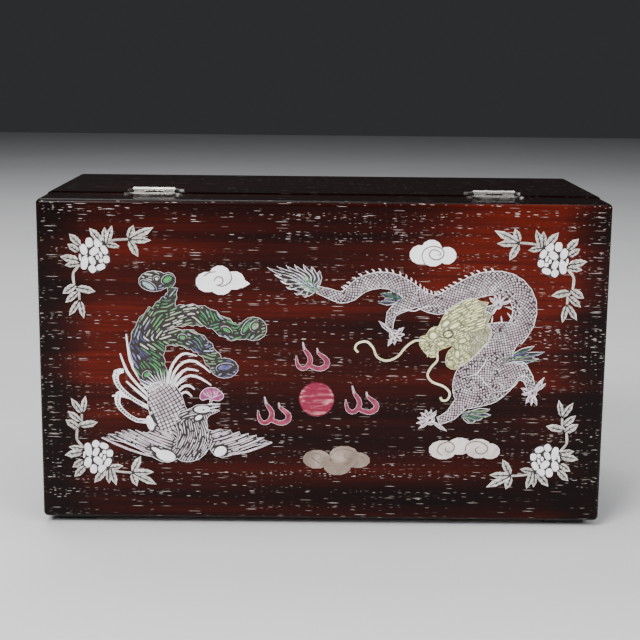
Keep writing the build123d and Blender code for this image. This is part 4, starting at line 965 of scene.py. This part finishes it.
PLUME_LINES = [
    [(62, 61.2), (58, 61.4), (51, 66), (46.8, 71.6), (47.4, 77.4)],
    [(62, 71.2), (57.6, 73.6), (50, 79.6), (46, 85.6), (46.4, 91)],
]
BEAD_PITCH = 1.7


def carve_phoenix_plumes():
    plate = Plate("inlay_phoenix_plumes")
    plumes = Carving("phoenix_plumes", "pale", "shell_white")
    plumes.rim(plate, 0.5)
    lines = Carving("phoenix_plume_lines", "filler", "shell_white")
    for curl in PLUME_LINES:
        path = curve(curl)
        lines.strand(path, 1.7, FLAT_TOP, 0.5)
        runs = lengths(path)
        for i in range(2, int(runs[-1] / BEAD_PITCH)):
            (u, v), _ = at_length(path, runs, i * BEAD_PITCH)
            plumes.tile(oval_outline(u, v, 0.5, 0.5, 0, 8), tone=0.1)


TAIL_FLOW = [
    [(61.2, 110.4), (68, 106), (75.3, 100.5)], [(61.2, 104.4), (75.3, 96.5)], [(57.9, 102.4), (60.2, 97.5)],
    [(68.7, 131.2), (62.1, 121.3), (59.3, 114.3)], [(73.4, 126.2), (68.7, 119.3), (65.9, 114.3)],
    [(60.2, 94.5), (65.9, 86.6)], [(73.4, 102.4), (78.1, 94.5), (75.3, 90.6)],
    [(73.4, 139.1), (79, 136.1), (82.8, 141.1)], [(70.6, 131.2), (77.1, 131.2), (82.8, 135.1)],
    [(75.3, 123.2), (82.8, 126.2), (94, 128.2), (99.7, 122.2)],
    [(74.3, 119.3), (82.8, 122.2), (90.3, 125.2)], [(101.6, 128.2), (103.4, 123.2)],
    [(103.4, 117.3), (109.1, 119.3), (115.6, 114.3)], [(110, 116.3), (115.6, 112.3), (121.3, 114.3)],
    [(122.2, 114.3), (126, 122.2), (131.6, 123.2)], [(88.4, 114.3), (95.9, 110.4)],
    [(95.9, 112.3), (98.7, 106.4), (103.4, 108.4)], [(98.7, 102.4), (103.4, 100.5), (110, 102.4)],
    [(101.6, 97.5), (109.1, 97.5)], [(105.3, 90.6), (110.9, 94.5), (117.5, 92.5)],
    [(61, 148), (66, 143.4), (73, 145), (76, 150)], [(64, 151), (70, 150.4), (74, 146)],
]
TAIL_TINTS = [                             # place and shell colour of the patches
    (60, 98, 0.12), (63, 91, 0.52), (64, 87, 0.10), (70, 104, 0.52), (63, 112, 0.14), (60, 118, 0.30),
    (66, 124, 0.72), (72, 129, 0.55), (77, 133, 0.45), (74, 139, 0.16), (80, 141, 0.50), (84, 124, 0.82),
    (92, 127, 0.86), (90, 121, 0.74), (103, 125, 0.42), (105, 119, 0.52), (112, 118, 0.62),
    (112, 114, 0.28), (118, 115, 0.52), (116, 111, 0.28), (125, 120, 0.50), (130, 120, 0.72),
    (86, 112, 0.66), (93, 110, 0.34), (98, 109, 0.10), (102, 106, 0.12), (103, 101, 0.72), (107, 98, 0.66),
    (112, 93, 0.06), (106, 92, 0.32), (76, 96, 0.50), (79, 93, 0.56), (64, 144, 0.30), (66, 150, 0.92),
    (78, 148, 0.54), (68, 108, 0.92),
]
TAIL_TILES = [                             # middle, half sizes, turn and tint of the big tiles
    (66.0, 143.8, 4.6, 1.7, -0.55, 0.30), (77.4, 147.6, 3.0, 2.0, 0.5, 0.54), (71, 148, 1.1, 1.0, 0, 0.97),
    (124.4, 119.4, 4.4, 1.3, 1.0, 0.50), (129.4, 120, 2.6, 2.0, 0.9, 0.70),
    (111.4, 94.6, 4.6, 1.8, 0.15, 0.08), (86, 112.6, 1.9, 1.4, -0.2, 0.60),
    (64.6, 89.6, 2.2, 1.6, 0.4, 0.52), (112.4, 117.4, 2.8, 1.2, -0.5, 0.53),
]
TAIL_BOX = (50, 82, 140, 154)
TAIL_STRANDS = ((1.75, 1.3, 11), (1.25, 0.8, 6))    # space, width and reach: broad ones, then narrow ones


def tint(u, v):
    """Shell colour of the nearest patch, give or take."""
    near = min(TAIL_TINTS, key=lambda patch: math.hypot(patch[0] - u, patch[1] - v) + dice.uniform(0, 1.5))
    return min(max(near[2] + dice.gauss(0, 0.08), 0.0), 1.0)


def carve_phoenix_tail():
    plate = Plate("inlay_phoenix_tail")
    vanes = Carving("phoenix_vanes", "abalone", "abalone")
    edges = Carving("phoenix_tail_edges", "pale", "shell_white")
    edges.rim(plate, 0.32, tone=0.8)
    for u, v, ru, rv, turn, tone in TAIL_TILES:
        vanes.tile(oval_outline(u, v, ru, rv, turn, 14), tone=tone, crown=0.06)
        edges.strand(oval_outline(u, v, ru + 0.9, rv + 0.9, turn, 18)[:12], 0.34, TILE_TOP - 0.05, 0.6)
        vanes.reserve_oval(u, v, ru + 0.5, rv + 0.5, turn, (0.2, 0.6, 1.0), 14)
    heading = heading_along(TAIL_FLOW)
    for strands in TAIL_STRANDS:
        vanes.flow(plate, TAIL_BOX, heading, *strands, 4000, tint)


# ------------------------ sprigs, clouds, flames
PETALS = [                                 # middle, half sizes and turn
    (31.4, 169.3, 2.2, 2.9, 0.1), (36.6, 169.2, 2.6, 2.6, 0.0), (28.0, 165.2, 2.2, 3.3, 0.3),
    (34.3, 164.2, 3.2, 2.2, 0.7), (40.2, 165.0, 1.9, 2.9, 0.5), (38.0, 162.2, 0.9, 2.0, 0.3),
    (41.4, 159.4, 2.0, 2.3, 0.0), (33.0, 158.6, 1.8, 2.9, 0.45), (36.1, 160.6, 0.9, 1.5, 0.2),
    (38.2, 158.6, 1.3, 1.3, 0.0), (28.4, 157.2, 2.2, 4.2, -0.15), (33.0, 153.6, 2.2, 2.4, 0.6),
    (38.0, 154.8, 2.8, 1.9, 0.35), (25.9, 160.4, 0.7, 2.2, 0.1), (29.4, 161.6, 0.7, 0.6, 0.0),
]
PETAL_SQUARENESS = 2.7                     # 2 would be a plain oval
PETAL_CORNERS = 18


def petal_outline(u, v, ru, rv, turn):
    """Rounded petal, fuller at its corners than an oval."""
    points, power = [], PETAL_SQUARENESS
    for i in range(PETAL_CORNERS):
        angle = 2 * math.pi * i / PETAL_CORNERS
        swell = (abs(math.cos(angle)) ** power + abs(math.sin(angle)) ** power) ** (-1 / power)
        points.append(turned(u, v, ru * swell * math.cos(angle), rv * swell * math.sin(angle), turn))
    return points


LEAVES = [
    ((19.6, 174.4), (26.6, 167.4), 4.4), ((18.6, 168.4), (25.6, 163.6), 4),
    ((14, 160.8), (25.4, 158.8), 4.6), ((16.6, 155.6), (26, 157), 3.6), ((15, 138.6), (23, 144), 4.6),
    ((16.6, 133.2), (24.4, 140), 4), ((34.6, 140), (23, 142.4), 4.6), ((18.6, 125.2), (25, 135), 3.8),
    ((27.4, 123.6), (25, 135), 3.6), ((31.6, 178), (39, 169.4), 4.6), ((40.6, 178.6), (40.6, 169), 3.8),
    ((45, 179.6), (42, 169), 3.6), ((49.4, 167.2), (40.4, 168.4), 3.4), ((57.6, 180), (54.6, 171.4), 4.4),
    ((69.6, 178.8), (55, 171.6), 4.6), ((68, 171), (55, 171), 4), ((60.2, 161), (54.6, 171.4), 4.6),
]
STEMS = [
    [(25.6, 156), (21.6, 151), (22, 144), (24.6, 140), (25, 134)], [(41, 169.6), (47, 171), (55.4, 171.6)],
]
SIDE_VEINS = ((0.3, 1), (0.3, -1), (0.55, 1), (0.55, -1))    # share of the leaf, and side
VEIN_TOP, STEM_TOP = 0.42, 0.38


def four_corners(points):
    """The upper left figure and its mirror images."""
    for flip_u in (False, True):
        for flip_v in (False, True):
            yield [(ART_WIDTH - u if flip_u else u, ART_HEIGHT - v if flip_v else v) for u, v in points]


def carve_sprigs():
    petals = Carving("peony_petals", "pale", "shell_white")
    leaves = Carving("sprig_leaves", "leaf", "shell_white")
    veins = Carving("sprig_veins", "filler", "shell_white")
    for petal in PETALS:
        for points in four_corners(petal_outline(*petal)):
            petals.tile(points, tone=dice.uniform(0, 0.2), bevel=0.06, crown=0.08)
    for tip, base, width in LEAVES:
        for points in four_corners(leaf_outline(tip, base, width * 1.12)):
            leaves.tile(points, LOW_TOP, dice.uniform(0, 0.5), crown=0.06)
        for points in four_corners(wave(base, between(base, tip, 0.85), 0.3, 1.0, 4)):
            veins.strand(points, 1.1, VEIN_TOP, 0.5, ends=(1, 0.4))
        for share, side in SIDE_VEINS:
            root = between(base, tip, share)
            turn = math.atan2(tip[1] - base[1], tip[0] - base[0]) + side * 0.75
            end = (root[0] + math.cos(turn) * width * 0.36, root[1] + math.sin(turn) * width * 0.36)
            for points in four_corners([root, end]):
                veins.strand(points, 0.8, VEIN_TOP, 0.5, ends=(1, 0.5))
    for stem in STEMS:
        for points in four_corners(curve(stem)):
            leaves.strand(points, 1.5, STEM_TOP, ends=(1, 0.8))


CLOUD_LINES = [
    [(104.9, 147), (106, 149), (108, 149.6), (110, 148.6), (110.2, 146.4), (108.4, 144.8), (106, 144.6)],
    [(107, 144.5), (110, 144), (114, 146), (115.5, 149), (114.5, 152)],
    [(99, 149.8), (102, 152), (106, 152.6)],
    [(230, 158), (228, 163), (229.5, 167), (234, 169), (239, 168), (241, 165), (239.5, 162), (236, 161),
     (233, 162.5), (232.5, 165), (234.5, 167), (238, 166), (239, 164), (237, 164)],
    [(176, 34), (171, 34.6), (166, 37.4), (163.4, 40), (165.6, 42), (169, 41), (169.4, 38.4), (167, 38)],
    [(174, 38), (177, 42.4), (182, 44.6), (188, 43.6), (190, 40.6), (187, 38.4), (184, 39.6), (184.6, 41.6)],
    [(180, 34), (186, 33), (192, 34.6), (195.6, 37.4), (193.6, 40), (191, 39)],
    [(243, 41), (240, 44), (242, 48), (247, 49.6), (250.4, 47), (249, 43.6), (245.6, 43.6), (245, 46)],
    [(257, 44), (258, 48), (262, 50), (267, 49.4), (270.6, 46.4), (269, 43), (265, 42.4), (263, 45),
     (265.4, 46.6)],
]
CLOUD_LINE_TOP = 0.24


def carve_clouds():
    lines = Carving("cloud_lines", "line", "shell_cream")
    for line in CLOUD_LINES:
        lines.strand(curve(line), 1.3, CLOUD_LINE_TOP, 0.3, ends=(0.7, 0.7))


FLAME_PLACES = ((153.5, 92.6), (130.7, 58.8), (183.5, 66))
FLAME_TIPS = (((5.6, 13.4), (4.4, 18)), ((13.6, 11.6), (13, 14.4)))
FUNGUS_VEINS = 6
PEARL_MIDDLE, PEARL_RADIUS, PEARL_TOP = (166.5, 75.5), 10.35, 0.5


def carve_flames():
    edges = Carving("flame_edges", "pale", "shell_pink")
    edges.rim(Plate("inlay_flames"), 0.26, tone=1.0)
    for du, dv in FLAME_PLACES:
        for tip in FLAME_TIPS:
            edges.strand([(u + du, v + dv) for u, v in tip], 0.9, tone=0.2, ends=(0.8, 0.4))
    veins = Carving("fungus_veins", "pale", "shell_pink")
    for k in range(FUNGUS_VEINS):
        vein = [(103.4, 75.6), (99.4 + 1.8 * k, 77.6), (97.6 + 2.4 * k, 80.6)]
        veins.strand(curve(vein), 0.34, FLAT_TOP, 0.7)
    veins.rim(Plate("inlay_fungus"), 0.4, LOW_TOP, tone=0.5)
    pearl = Carving("pearl_rim", "pale", "shell_pink")
    circle = oval_outline(*PEARL_MIDDLE, PEARL_RADIUS, PEARL_RADIUS, corners=72)
    pearl.strand(circle + circle[:1], 0.45, PEARL_TOP, 0.5, ends=(1, 1))


carve_dragon_body()
carve_dragon_head()
carve_dragon_tufts()
carve_phoenix_body()
carve_phoenix_plumes()
carve_phoenix_tail()
carve_sprigs()
carve_clouds()
carve_flames()
for carving in Carving.begun:
    carving.finish()
make_floor()
